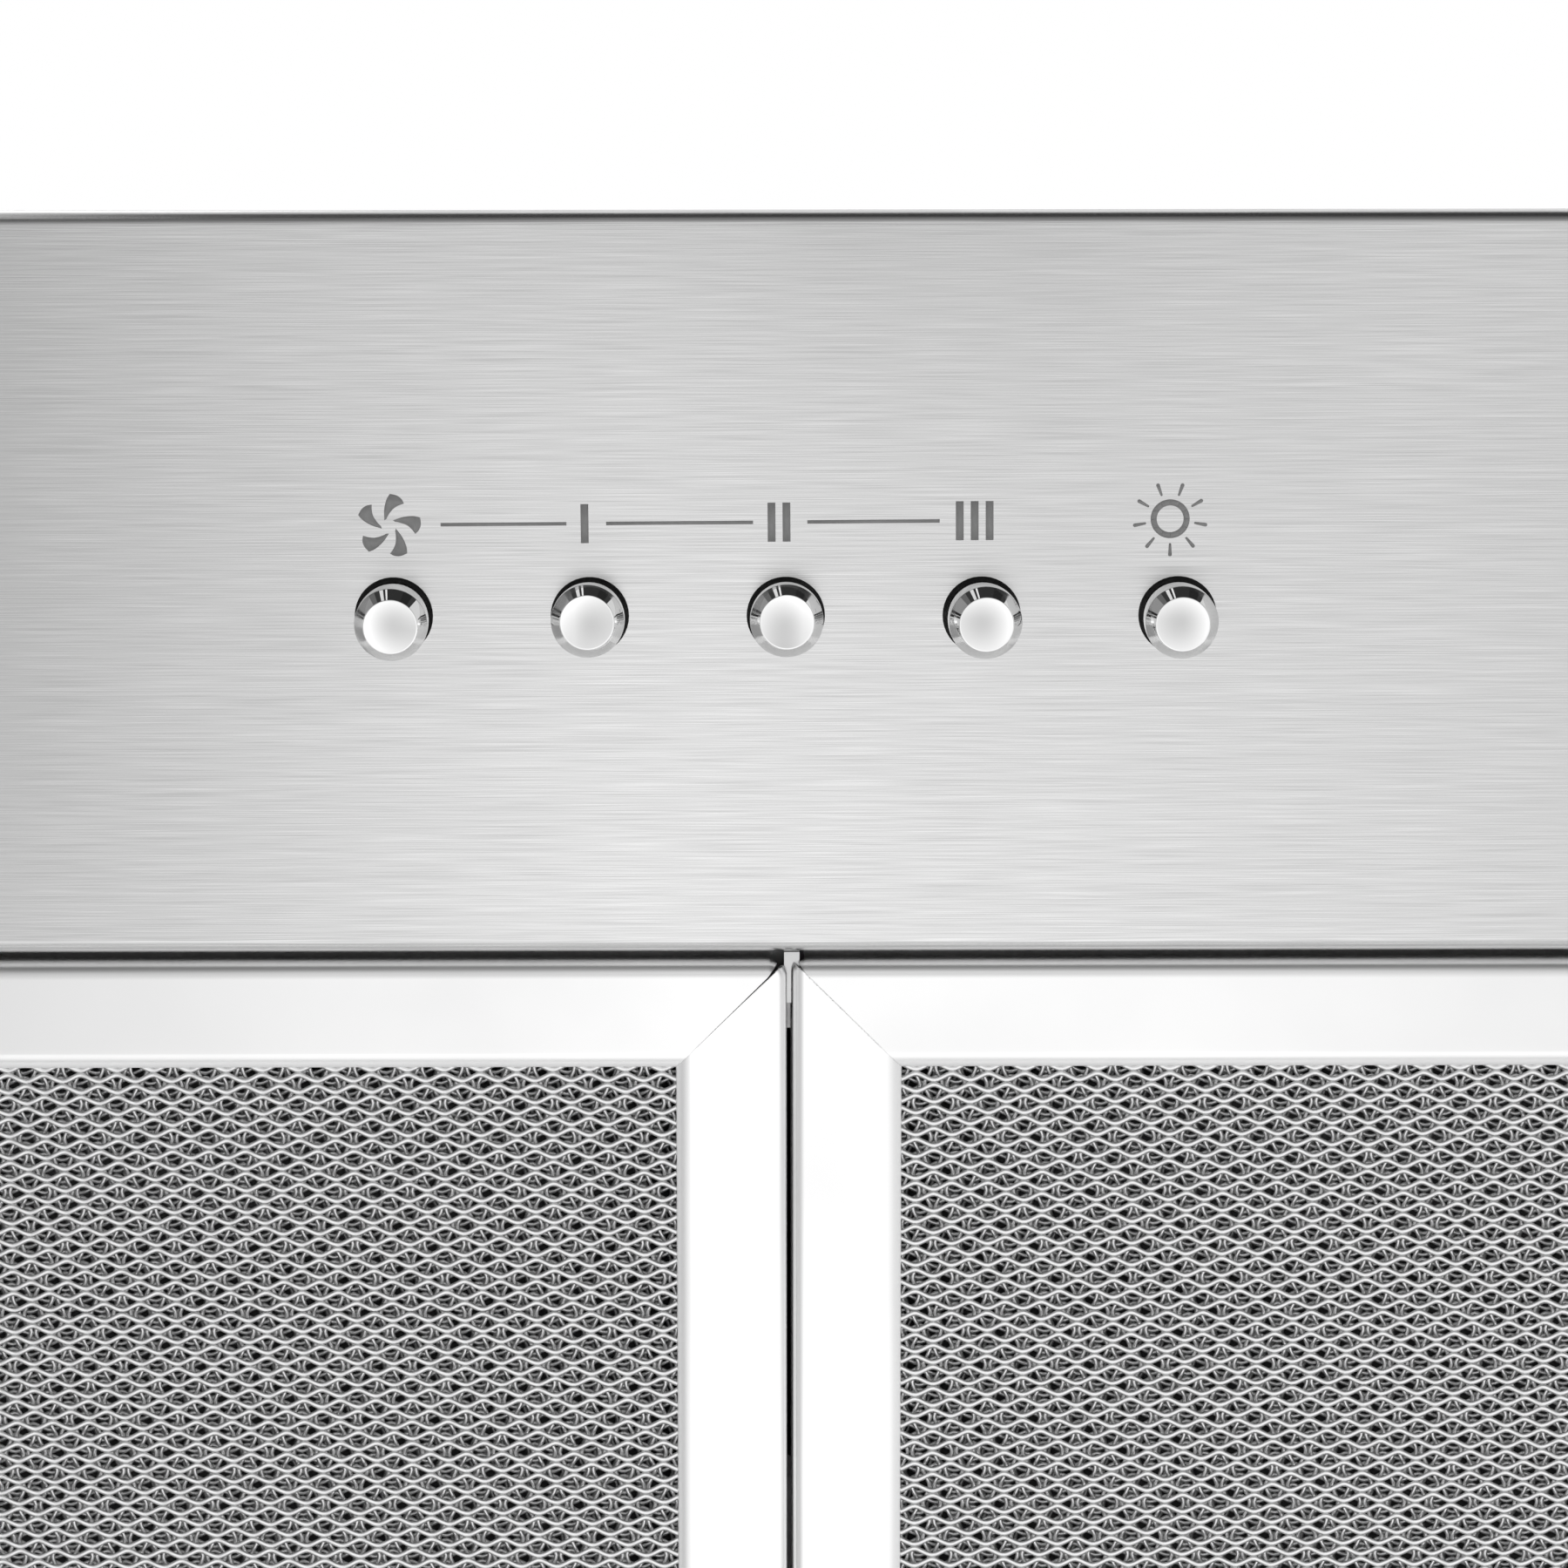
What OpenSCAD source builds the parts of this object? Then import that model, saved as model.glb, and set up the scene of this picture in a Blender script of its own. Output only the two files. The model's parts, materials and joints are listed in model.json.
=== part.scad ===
// Under cabinet range hood, seen as installed: +Z up, +Y to the wall, -Y to the cook.
// The origin is on the top face that meets the cabinet, at mid-width and mid-depth.

/* [Canopy] */
// Overall width, side to side
hood_w = 758; // [740:1:914]
// Overall depth, wall to front edge
hood_d = 500; // [490:1:530]
// Height of the body, without the duct collar
hood_h = 130; // [130:1:150]
// Depth of the flat top that sits under the cabinet
top_d = 310; // [300:1:320]
// Height of the front face
face_h = 42; // [38:1:46]
// How far the front face leans back over its height
face_lean = 10; // [6:1:14]
// Sheet steel thickness
sheet = 1; // [0.8:0.1:1.2]

/* [Control panel] */
// Depth of the flat panel that holds the buttons and lamps
panel_d = 96; // [94:1:100]
// Distance of the button line from the front edge
button_line = 52; // [50:1:54]
// Distance between buttons
button_pitch = 25; // [22:1:26]
// Hole in the panel for one button
button_hole_d = 10; // [9.8:0.1:10.4]
// Button cap diameter
cap_d = 9.3; // [9:0.1:9.4]
// How far a button stands out of the panel
cap_proud = 7.5; // [6:0.5:9]
// How far a button moves in
button_travel = 3.5; // [2:0.5:3.5]
// Distance of each lamp from the middle
lamp_x = 280; // [240:5:300]
// Width of the lamp bezel
lamp_d = 66; // [62:1:68]

/* [Filters] */
// Width of the filter frame's face
frame_w = 14; // [12:1:16]
// Thickness of a filter
filter_h = 9; // [8.5:0.5:10]
// Front to back size of a filter
filter_len = 321.2; // [310:0.2:322]
// Gap between the two filters
filter_seam = 0.5; // [0.4:0.1:1]

/* [Blower and duct] */
// Blower wheel diameter
wheel_d = 180; // [170:2:184]
// Number of blower blades
blade_count = 36; // [24:1:44]
// Duct opening, side to side
duct_w = 254; // [240:1:254]
// Duct opening, front to back
duct_d = 83; // [80:1:83]
// Height of the duct collar
collar_h = 50; // [40:1:60]

/* [Fixing] */
// Keyhole spacing, side to side
key_x = 640; // [600:5:660]
// Keyhole spacing, front to back
key_y = 240; // [220:5:250]

/* [Hidden] */
$fn = 48;

// Overall planes
half_w = hood_w / 2;
back_y = hood_d / 2;
front_y = -hood_d / 2;
base_z = -hood_h;
in_x = half_w - sheet;
top_y = back_y - top_d;
face_top = [front_y + face_lean, base_z + face_h];
panel_y = front_y + panel_d;
panel_in = base_z + sheet;
slope = (0 - face_top.y) / (top_y - face_top.x);
bend_steps = 5;

// Controls: the row sits a little left of the seam, and pressed-on caps sit a little off straight
control_x = -0.35;
line_y = front_y + button_line;
cap_lean = [[0.2, 1.8], [-0.9, -1.8], [0.8, -1.9], [2.2, 0.5], [0.8, 0.5]];
face_z = base_z - cap_proud;
chamfer = 1.2;
dish = 0.2;
collar_z = panel_in + 0.1;
collar_r = 5.6;
stem_r = 2.5;
fit = 0.05;
switch_z = [base_z + 6, base_z + 26];
switch_half = [62, 11];
spring_seat = switch_z[0] + 4;
function button_x(i) = control_x + (i - 3) * button_pitch;

// Lamps
lamp_y = front_y + panel_d / 2;
lamp_hole_r = lamp_d / 2 - 4;

// Filters hang 1 mm above the underside, between the panel and the rear rail
filter_z = base_z + 1;
filter_top = filter_z + filter_h;
filter_y = panel_y + 0.9;
filter_back = filter_y + filter_len;
rail_y = filter_back + 0.9;
side_rim = 23;
rim_x = in_x - side_rim;
filter_x = [filter_seam / 2, rim_x - 0.8];
latch_x = (filter_x[0] + filter_x[1]) / 2;
hook_z = base_z + 6.4;
lip_h = 6;
latch_reach = 4;
tab_w = 2;
tab_len = 7;

// Blower: a single wheel on an upright shaft, off centre so that its outlet meets the plenum
blower_at = [-105, 20];
scroll_z = [base_z + 28, -36];
skin = 1.2;
cut_angle = 36;
scroll_start = wheel_d / 2 + 8;
scroll_growth = 52;
inlet_r = wheel_d / 2 - 18;
shaft_r = 4;

// Duct
duct_y = back_y - 54;
plenum_front = duct_y - duct_d / 2 - 2.5;
plenum_floor = scroll_z[0] - 8;
plenum_top = -2 * sheet;
gap = 0.1;
pin_at = [duct_y + duct_d / 2 - 6, 14];
outlet_z = -65;
cable_at = [235, 195];
grommet_r = 14;

function unit(v) = v / norm(v);
function left_of(v) = [-v.y, v.x];
// Points round one fold at b, between a and c, on a face moved off into the sheet
function fold(a, b, c, r, off) =
  let (d = unit(b - a), e = unit(c - b),
       bend = atan2(d.x * e.y - d.y * e.x, d * e), s = sign(bend),
       start = b - d * r * tan(abs(bend) / 2), arm = -s * r * left_of(d), mid = start - arm)
  [for (i = [0 : bend_steps]) let (q = bend * i / bend_steps)
    mid + (r - s * off) / r * [arm.x * cos(q) - arm.y * sin(q), arm.x * sin(q) + arm.y * cos(q)]];
// One face of a folded sheet: its ends and a fold at each corner between them
function fold_face(p, r, off) = let (n = len(p) - 1) [
  p[0] + off * left_of(unit(p[1] - p[0])),
  for (i = [1 : n - 1]) each fold(p[i - 1], p[i], p[i + 1], r, off),
  p[n] + off * left_of(unit(p[n] - p[n - 1]))];
function reversed(p) = [for (i = [len(p) - 1 : -1 : 0]) p[i]];

// Sheet folded along a path in Y and Z, outer face given, run along X
module folded_x(path, r, x0, x1) {
  translate([x0, 0, 0]) rotate([90, 0, 90]) linear_extrude(x1 - x0)
    polygon(concat(fold_face(path, r, 0), reversed(fold_face(path, r, sheet))));
}
module box(low, high) { translate(low) cube(high - low); }
module hole(at, r, z0, z1) { translate([at.x, at.y, z0]) cylinder(r = r, h = z1 - z0); }
module ring(r_in, r_out, z0, z1) {
  translate([0, 0, z0]) difference() {
    cylinder(r = r_out, h = z1 - z0);
    translate([0, 0, -1]) cylinder(r = r_in, h = z1 - z0 + 2);
  }
}
module both_sides() { children(); mirror([1, 0, 0]) children(); }
module on_side(side) { if (side < 0) mirror([1, 0, 0]) children(); else children(); }
// Smooth route through a list of places, with a few steps between each two
function smooth(p, steps) = let (n = len(p) - 1) [
  for (i = [0 : n - 1], k = [0 : steps - 1]) let (
    u = k / steps, before = p[max(i - 1, 0)], a = p[i], b = p[i + 1], after = p[min(i + 2, n)])
    a + u * (b - before) / 2 + u * u * (before - 2.5 * a + 2 * b - after / 2)
      + u * u * u * (1.5 * (a - b) + (after - before) / 2),
  p[n]];
// Round lead swept along a smooth route through a list of places
module lead(points, d) {
  sides = 8;
  route = smooth(points, 4);
  n = len(route);
  along = [for (i = [0 : n - 1]) unit(route[min(i + 1, n - 1)] - route[max(i - 1, 0)])];
  across = [for (t = along) unit(cross(t, [1, -1, 0.5]))];
  rings = [for (i = [0 : n - 1], k = [0 : sides - 1]) let (a = k * 360 / sides)
    route[i] + d / 2 * (cos(a) * across[i] + sin(a) * cross(along[i], across[i]))];
  walls = [for (i = [0 : n - 2], k = [0 : sides - 1]) let (
    a = i * sides + k, b = i * sides + (k + 1) % sides)
    each [[a, a + sides, b], [b, a + sides, b + sides]]];
  polyhedron(rings, concat(walls, [[for (k = [0 : sides - 1]) k]],
    [[for (k = [sides - 1 : -1 : 0]) (n - 1) * sides + k]]));
}
module pan_head(at, z, up) {
  translate([at.x, at.y, z]) mirror([0, 0, up ? 0 : 1]) {
    cylinder(r = 3.4, h = 1.4, $fn = 24);
    translate([0, 0, 1.4]) cylinder(r1 = 3.4, r2 = 2.2, h = 0.9, $fn = 24);
  }
}

// ---- Sheet metal body ----
module front_canopy() {
  color("silver") difference() {
    folded_x([[top_y + 24, -sheet], [top_y - sheet / slope, -sheet], face_top,
              [front_y, base_z], [panel_y, base_z], [panel_y, base_z + lip_h]], 2, -in_x, in_x);
    for (i = [1 : 5]) hole([button_x(i), line_y], button_hole_d / 2, base_z - 1, panel_in + 1);
    both_sides() hole([lamp_x, lamp_y], lamp_hole_r, base_z - 1, panel_in + 1);
  }
}
module side_panel(side) {
  color("silver") on_side(side) {
    translate([in_x, 0, 0]) rotate([90, 0, 90]) linear_extrude(sheet)
      polygon(fold_face([[back_y, 0], [top_y, 0], face_top, [front_y, base_z], [back_y, base_z]],
        2, 0));
    box([rim_x, panel_y, base_z], [in_x, back_y - sheet, panel_in]);
    box([rim_x, panel_y, panel_in], [rim_x + sheet, back_y - sheet, base_z + 12]);
  }
}
module keyhole(at) {
  hole(at, 6, -sheet - 1, 1);
  hole(at + [0, 12], 3, -sheet - 1, 1);
  box([at.x - 3, at.y, -sheet - 1], [at.x + 3, at.y + 12, 1]);
}
module top_plate() {
  color("silver") difference() {
    box([-in_x, top_y, -sheet], [in_x, back_y - sheet, 0]);
    box([-duct_w / 2 - sheet - gap, duct_y - duct_d / 2 - sheet - gap, -sheet - 1],
      [duct_w / 2 + sheet + gap, duct_y + duct_d / 2 + sheet + gap, 1]);
    for (x = [-1, 1], y = [0, 1]) {
      keyhole([x * key_x / 2, top_y + 30 + y * key_y]);
      hole([x * (key_x / 2 + 30), top_y + 42 + y * key_y], 2.75, -sheet - 1, 1);
    }
    hole(cable_at, grommet_r + 0.4, -sheet - 1, 1);
  }
}
module back_panel() {
  color("silver") difference() {
    box([-in_x, back_y - sheet, base_z], [in_x, back_y, 0]);
    box([-duct_w / 2, back_y - sheet - 1, outlet_z - duct_d / 2],
      [duct_w / 2, back_y + 1, outlet_z + duct_d / 2]);
  }
}
module rear_filter_rail() {
  color("silver") folded_x([[rail_y, base_z + lip_h], [rail_y, base_z],
    [back_y - sheet, base_z], [back_y - sheet, base_z + 14]], 2, -rim_x, rim_x);
}
// Hat section that stops the filters, with a short tab between them at the middle
module front_filter_rail() {
  stop_z = filter_top + 0.4;
  color("silver") {
    difference() {
      box([-rim_x + 1, panel_y - 28, panel_in], [rim_x - 1, panel_y - 14, panel_in + sheet]);
      both_sides() hole([lamp_x, lamp_y], lamp_hole_r + 1, panel_in - 1, panel_in + 2);
    }
    box([-rim_x + 1, panel_y - 15, panel_in + sheet], [rim_x - 1, panel_y - 14, stop_z]);
    box([-rim_x + 1, panel_y - 15, stop_z], [rim_x - 1, panel_y + 12, stop_z + sheet]);
    box([-tab_w / 2 + 0.4, panel_y + 0.3, filter_z + 1.6],
      [tab_w / 2 + 0.4, panel_y + tab_len, stop_z]);
  }
}

// ---- Duct ----
module duct_collar() {
  w = duct_w / 2;
  d = duct_d / 2;
  color("gainsboro") translate([0, duct_y, 0]) difference() {
    union() {
      box([-w - 16, -d - 12, plenum_top], [w + 16, d + 11, -sheet]);
      box([-w - sheet, -d - sheet, plenum_top], [w + sheet, d + sheet, collar_h]);
    }
    difference() {
      box([-w, -d, plenum_top - 1], [w, d, collar_h + 1]);
      box([-w - 1, -d - 1, pin_at[1] - 2], [w + 1, -d + 4, pin_at[1] - 1]);
    }
    translate([-w - 5, pin_at[0] - duct_y, pin_at[1]]) rotate([0, 90, 0])
      cylinder(r = 1.55, h = duct_w + 10, $fn = 24);
  }
}
module damper_pin() {
  color("gray") translate([-duct_w / 2 - sheet, pin_at[0], pin_at[1]]) rotate([0, 90, 0])
    cylinder(r = 1.5, h = duct_w + 2 * sheet, $fn = 24);
}
module damper_flap() {
  w = duct_w / 2 - 1.5;
  color("darkgray") difference() {
    union() {
      box([-w, duct_y - duct_d / 2 + 1.2, pin_at[1] - 0.6], [w, pin_at[0], pin_at[1] + 0.2]);
      translate([-w, pin_at[0], pin_at[1]]) rotate([0, 90, 0])
        cylinder(r = 2.6, h = 2 * w, $fn = 24);
    }
    translate([-w - 1, pin_at[0], pin_at[1]]) rotate([0, 90, 0])
      cylinder(r = 1.5 + fit, h = 2 * w + 2, $fn = 24);
  }
}
module rear_outlet_cover() {
  color("silver")
    box([-duct_w / 2 - 8, back_y - 2 * sheet, outlet_z - duct_d / 2 - 8],
      [duct_w / 2 + 8, back_y - sheet, outlet_z + duct_d / 2 + 8]);
}
// Box open to the collar above, to the cover plate behind and to the blower in front
module discharge_plenum() {
  w = duct_w / 2 + 4;
  color("gainsboro") difference() {
    box([-w, plenum_front, plenum_floor], [w, back_y - 2 * sheet, plenum_top]);
    box([-w + sheet, plenum_front + sheet, plenum_floor + sheet], [w - sheet, back_y, 0]);
    box([blower_at.x + throat_x0(), plenum_front - 1, scroll_z[0] + skin],
      [blower_at.x + throat_x1(), plenum_front + 2, scroll_z[1] - skin]);
  }
}

// ---- Blower ----
function scroll_r(a) = scroll_start + scroll_growth * (a - cut_angle) / (360 - cut_angle);
function throat_x0() = scroll_start * cos(cut_angle);
function throat_x1() = scroll_start + scroll_growth;
// Plan of the scroll: a widening spiral that ends in a straight outlet, moved out by grow
function scroll_plan(grow) = concat(
  [for (a = [cut_angle : 9 : 360]) (scroll_r(a) + grow) * [cos(a), sin(a)]],
  [[throat_x1() + grow, plenum_front - blower_at.y],
   [throat_x0() - grow, plenum_front - blower_at.y]]);
module at_blower() { translate([blower_at.x, blower_at.y, 0]) children(); }
module blower_housing() {
  color("gainsboro") at_blower() {
    translate([0, 0, scroll_z[0]]) linear_extrude(skin) difference() {
      polygon(scroll_plan(skin));
      circle(r = inlet_r + 3);
    }
    translate([0, 0, scroll_z[0] + skin]) linear_extrude(scroll_z[1] - scroll_z[0] - 2 * skin)
      difference() {
        polygon(scroll_plan(skin));
        polygon(scroll_plan(0));
        translate([throat_x0(), plenum_front - blower_at.y - 1])
          square([throat_x1() - throat_x0(), 2]);
      }
  }
}
module blower_cover() {
  color("gainsboro") at_blower() translate([0, 0, scroll_z[1] - skin]) linear_extrude(skin)
    difference() {
      polygon(scroll_plan(skin));
      circle(r = 46);
    }
}
// Bell mouth that leads the air into the wheel
module inlet_ring() {
  color("darkgray") at_blower() translate([0, 0, scroll_z[0]]) rotate_extrude($fn = 72)
    polygon(concat(
      [[inlet_r + 12, -sheet], [inlet_r + 12, 0], [inlet_r + 2, 0]],
      [for (a = [0 : 15 : 75]) [inlet_r + 2 - 2 * sin(a), 4 - 4 * cos(a)]],
      [[inlet_r, 4.6], [inlet_r - sheet, 4.6]],
      [for (a = [75 : -15 : 0]) [inlet_r + 2 - 3 * sin(a), 4 - 5 * cos(a)]]));
}
module finger_guard() {
  wire = 1.1;
  z = scroll_z[0] - sheet - wire - 0.5;
  color("gray") at_blower() translate([0, 0, z]) {
    for (r = [18, 36, 54, inlet_r + 8]) rotate_extrude($fn = 48) translate([r, 0])
      circle(r = wire, $fn = 16);
    for (a = [0 : 60 : 300]) rotate([0, 0, a]) translate([18, 0, 0.4]) rotate([0, 90, 0])
      cylinder(r = wire, h = inlet_r - 11, $fn = 16);
  }
}
standoff_at = [[-62, -50], [62, -50], [-62, 75], [62, 75]];
module blower_standoffs() {
  color("gray") at_blower() for (p = standoff_at)
    hole(p, 5, scroll_z[1], -sheet);
}
motor_top = -10;
motor_base = -70;
motor_r = 44;
module motor_can() {
  color("dimgray") at_blower() difference() {
    union() {
      hole([0, 0], motor_r, motor_base, motor_top);
      hole([0, 0], 56, scroll_z[1], scroll_z[1] + 3);
    }
    hole([0, 0], motor_r - 2, motor_base + 3, motor_top - 3);
    hole([0, 0], 8.05, motor_base - 1, motor_top + 1);
  }
}
module motor_stator() {
  color("saddlebrown") at_blower() ring(26, motor_r - 2.2, motor_base + 10, motor_top - 14);
}
module motor_bushes() {
  color("peru") at_blower() {
    ring(shaft_r + fit, 8, motor_base, motor_base + 4);
    ring(shaft_r + fit, 8, motor_top - 4, motor_top);
  }
}
module motor_rotor() {
  color("lightgray") at_blower() {
    hole([0, 0], shaft_r, motor_base - 22, motor_top - 1);
    hole([0, 0], 25.4, motor_base + 8, motor_top - 12);
  }
}
// Forward-curved wheel: boss, cup round the motor, back plate, blades and front ring
module impeller() {
  r = wheel_d / 2;
  cup_r = 50;
  back_z = scroll_z[1] - 8;
  ring_z = scroll_z[0] + 2.6;
  cup_z = motor_base - 7.5;
  module blade() {
    turn_r = 12;
    linear_extrude(back_z - ring_z - skin) polygon(concat(
      [for (a = [0 : 15 : 90]) [r - turn_r, 0] + turn_r * [sin(a), 1 - cos(a)]],
      [for (a = [90 : -15 : 0]) [r - turn_r, 0.9] + (turn_r - 0.9) * [sin(a), 1 - cos(a)]]));
  }
  color("lightsteelblue") at_blower() {
    ring(shaft_r + 0.02, 10, cup_z - 12, cup_z);
    ring(shaft_r + 0.02, cup_r + 1.5, cup_z, cup_z + 1.5);
    ring(cup_r, cup_r + 1.5, cup_z, back_z + 1.5);
    ring(cup_r, r, back_z, back_z + 1.5);
    ring(inlet_r + 3, r, ring_z, ring_z + skin);
    for (i = [1 : blade_count]) rotate([0, 0, i * 360 / blade_count])
      translate([0, 0, ring_z + skin]) blade();
  }
}
capacitor_at = [150, 20, -22];
module run_capacitor() {
  color("whitesmoke") translate(capacitor_at) rotate([0, 90, 0]) {
    cylinder(r = 16, h = 56);
    for (s = [-1, 1]) translate([0, s * 6, 56]) cylinder(r = 1.5, h = 8, $fn = 16);
  }
}
module capacitor_clip() {
  at = capacitor_at + [20, 0, 0];
  color("silver") difference() {
    union() {
      translate(at) rotate([0, 90, 0]) cylinder(r = 17.5, h = 14);
      box(at + [0, -28, 19], at + [14, 28, 21]);
      box(at + [0, -4, 15], at + [14, 4, 19]);
    }
    translate(at - [1, 0, 0]) rotate([0, 90, 0]) cylinder(r = 16.1, h = 16);
  }
}

// ---- Wiring ----
module cable_grommet() {
  r = grommet_r;
  color("dimgray") translate([cable_at.x, cable_at.y, 0]) rotate_extrude($fn = 48)
    polygon([[5.5, -8], [r - 2, -8], [r, -6], [r, -2.1], [r - 3, -2.1], [r - 3, -0.9], [r, -0.9],
      [r, 0], [5.5, 0]]);
}
jbox = [[195, 150, -56], [285, 236, -sheet]];
module junction_box() {
  color("silver") difference() {
    box(jbox[0] + [0, 0, sheet], jbox[1]);
    box(jbox[0] + [sheet, sheet, 0], jbox[1] - [sheet, sheet, sheet]);
    hole(cable_at, grommet_r - 2.9, -2 * sheet - 1, 1);
    translate([jbox[0].x - 1, 170, -30]) rotate([0, 90, 0]) cylinder(r = 5, h = 4);
    translate([243, jbox[0].y - 1, -31]) rotate([-90, 0, 0]) cylinder(r = 13, h = 4);
  }
}
module junction_box_cover() {
  color("silver") box(jbox[0], [jbox[1].x, jbox[1].y, jbox[0].z + sheet]);
}
module wiring_controls() {
  color("gray") {
    lead([[control_x, line_y, switch_z[1] + 12.5], [20, line_y + 20, -82], [60, -140, -84],
      [150, -90, -60], [215, -40, -30], [240, 60, -24], [238, 120, -29], [236, 154, -30]], 6);
    lead([[blower_at.x + motor_r + 1.5, 20, -26], [20, 60, -24], [120, 90, -24],
      [160, 150, -28], [175, 170, -30], [200, 170, -30]], 6);
  }
}
module wiring_lamps() {
  color("gray") {
    lead([[-lamp_x, lamp_y, base_z + 26], [-lamp_x, -180, -82], [-180, -160, -68],
      [60, -152, -60], [170, -140, -54], [225, -70, -22], [252, 60, -14], [250, 120, -22],
      [249, 154, -24]], 4);
    lead([[lamp_x, lamp_y, base_z + 26], [lamp_x, -180, -82], [274, -100, -42],
      [268, -40, -20], [262, 60, -30], [252, 120, -38], [246, 154, -38]], 4);
  }
}

// ---- Switch and buttons ----
module switch_body() {
  color("black") translate([control_x, line_y, 0]) difference() {
    box([-switch_half.x, -switch_half.y, switch_z[0]], [switch_half.x, switch_half.y, switch_z[1]]);
    box([-switch_half.x + 3, -switch_half.y + 3, switch_z[0] + 12],
      [switch_half.x - 3, switch_half.y - 3, switch_z[1] + 1]);
    for (i = [-2 : 2]) {
      hole([i * button_pitch, 0], stem_r + fit, switch_z[0] - 1, switch_z[1]);
      hole([i * button_pitch, 0], 4.4, switch_z[0] - 1, spring_seat);
    }
  }
}
module switch_cover() {
  color("black") translate([control_x, line_y, 0])
    box([-switch_half.x, -switch_half.y, switch_z[1]],
      [switch_half.x, switch_half.y, switch_z[1] + 2]);
}
module switch_terminals() {
  color("goldenrod") translate([control_x, line_y, 0]) for (i = [-2.5 : 1 : 2.5])
    box([i * 18 - 3.2, 4, switch_z[1] + 2], [i * 18 + 3.2, 4.8, switch_z[1] + 10]);
}
module switch_brackets() {
  color("silver") translate([control_x, line_y, 0]) both_sides() {
    box([switch_half.x, -9, panel_in], [switch_half.x + 1.2, 9, switch_z[1] - 2]);
    box([switch_half.x + 1.2, -9, panel_in], [switch_half.x + 16, 9, panel_in + 1.2]);
  }
}
module button_springs() {
  color("silver") for (i = [1 : 5]) translate([button_x(i), line_y, 0])
    ring(3.1, 3.9, collar_z + 1, spring_seat);
}
// Chromed cap: bevelled edge and a shallow dish in its face
module button_cap(i) {
  r = cap_d / 2;
  flat_r = r - chamfer;
  len = collar_z - 0.2 - face_z;
  dish_r = (flat_r * flat_r + dish * dish) / (2 * dish);
  color("gainsboro") translate([button_x(i), line_y, collar_z - 0.2])
    rotate([cap_lean[i - 1].y, -cap_lean[i - 1].x, 0]) difference() {
      rotate_extrude($fn = 64)
        polygon([[0, 0], [r, 0], [r, -len + chamfer], [flat_r, -len], [0, -len]]);
      translate([0, 0, -len - dish_r + dish]) sphere(r = dish_r, $fn = 96);
      translate([0, 0, -5]) cylinder(r = 2.1, h = 6);
    }
}
module button_stem(i) {
  color("black") translate([button_x(i), line_y, 0]) {
    hole([0, 0], collar_r, collar_z, collar_z + 1);
    hole([0, 0], 1.8, collar_z - 4.6, collar_z);
    hole([0, 0], stem_r, collar_z + 1, switch_z[0] + 14);
  }
}

// ---- Lamps ----
module at_lamps() { both_sides() translate([lamp_x, lamp_y, 0]) children(); }
module lamp_bezels() {
  r = lamp_hole_r - 0.3;
  color("silver") at_lamps() rotate_extrude($fn = 96) polygon([[r - 2, base_z - 1.2],
    [lamp_d / 2 - 0.6, base_z - 1.2], [lamp_d / 2, base_z - 0.6], [lamp_d / 2, base_z],
    [r, base_z], [r, base_z + 12], [r - 2, base_z + 12]]);
}
module lamp_lenses() {
  color("white", 0.8) at_lamps() hole([0, 0], lamp_hole_r - 2.4, base_z - 1, base_z + 1);
}
module lamp_cans() {
  r = lamp_hole_r - 0.3;
  color("gainsboro") at_lamps() difference() {
    hole([0, 0], r, base_z + 12, base_z + 24);
    hole([0, 0], r - 2, base_z + 11, base_z + 22);
  }
}
module lamp_boards() {
  color("ivory") at_lamps() {
    hole([0, 0], lamp_hole_r - 2.6, base_z + 14, base_z + 15.6);
    for (a = [0 : 60 : 300]) rotate([0, 0, a]) translate([15, 0, base_z + 13.4])
      translate([-1.5, -1.5, 0]) cube([3, 3, 0.6]);
  }
}

// ---- Filters ----
// Channel frame round the mesh, with hooks at the back and a slot for the latch at the front
module filter_frame(side) {
  low = [filter_x[0], filter_y, filter_z];
  high = [filter_x[1], filter_back, filter_top];
  edge = [frame_w, frame_w, 0];
  wall = 0.8;
  color("gainsboro") on_side(side) difference() {
    union() {
      box(low, high);
      for (x = [-110, 110]) box([latch_x + x - 14, filter_back, hook_z],
        [latch_x + x + 14, filter_back + 7, hook_z + 2]);
    }
    box(low + edge - [0, 0, 1], high - edge + [0, 0, 1]);
    box(low + [wall, wall, wall], high - [wall, wall, wall]);
    for (c = [[low.x, low.y, 45], [high.x, low.y, 135], [low.x, high.y, -45],
              [high.x, high.y, -135]])
      translate([c[0], c[1], filter_z - 1]) rotate([0, 0, c[2]]) translate([-1, -0.06, 0])
        cube([frame_w * sqrt(2) + 2, 0.12, 1.4]);
    box([-tab_w, low.y - 1, filter_z + 1.3], [tab_w / 2 + 0.8, panel_y + tab_len + 1, high.z + 1]);
    box([latch_x - 8.4, low.y - 1, hook_z - 0.4], [latch_x + 8.4, low.y + frame_w + 1, hook_z + 2.4]);
  }
}
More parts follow.
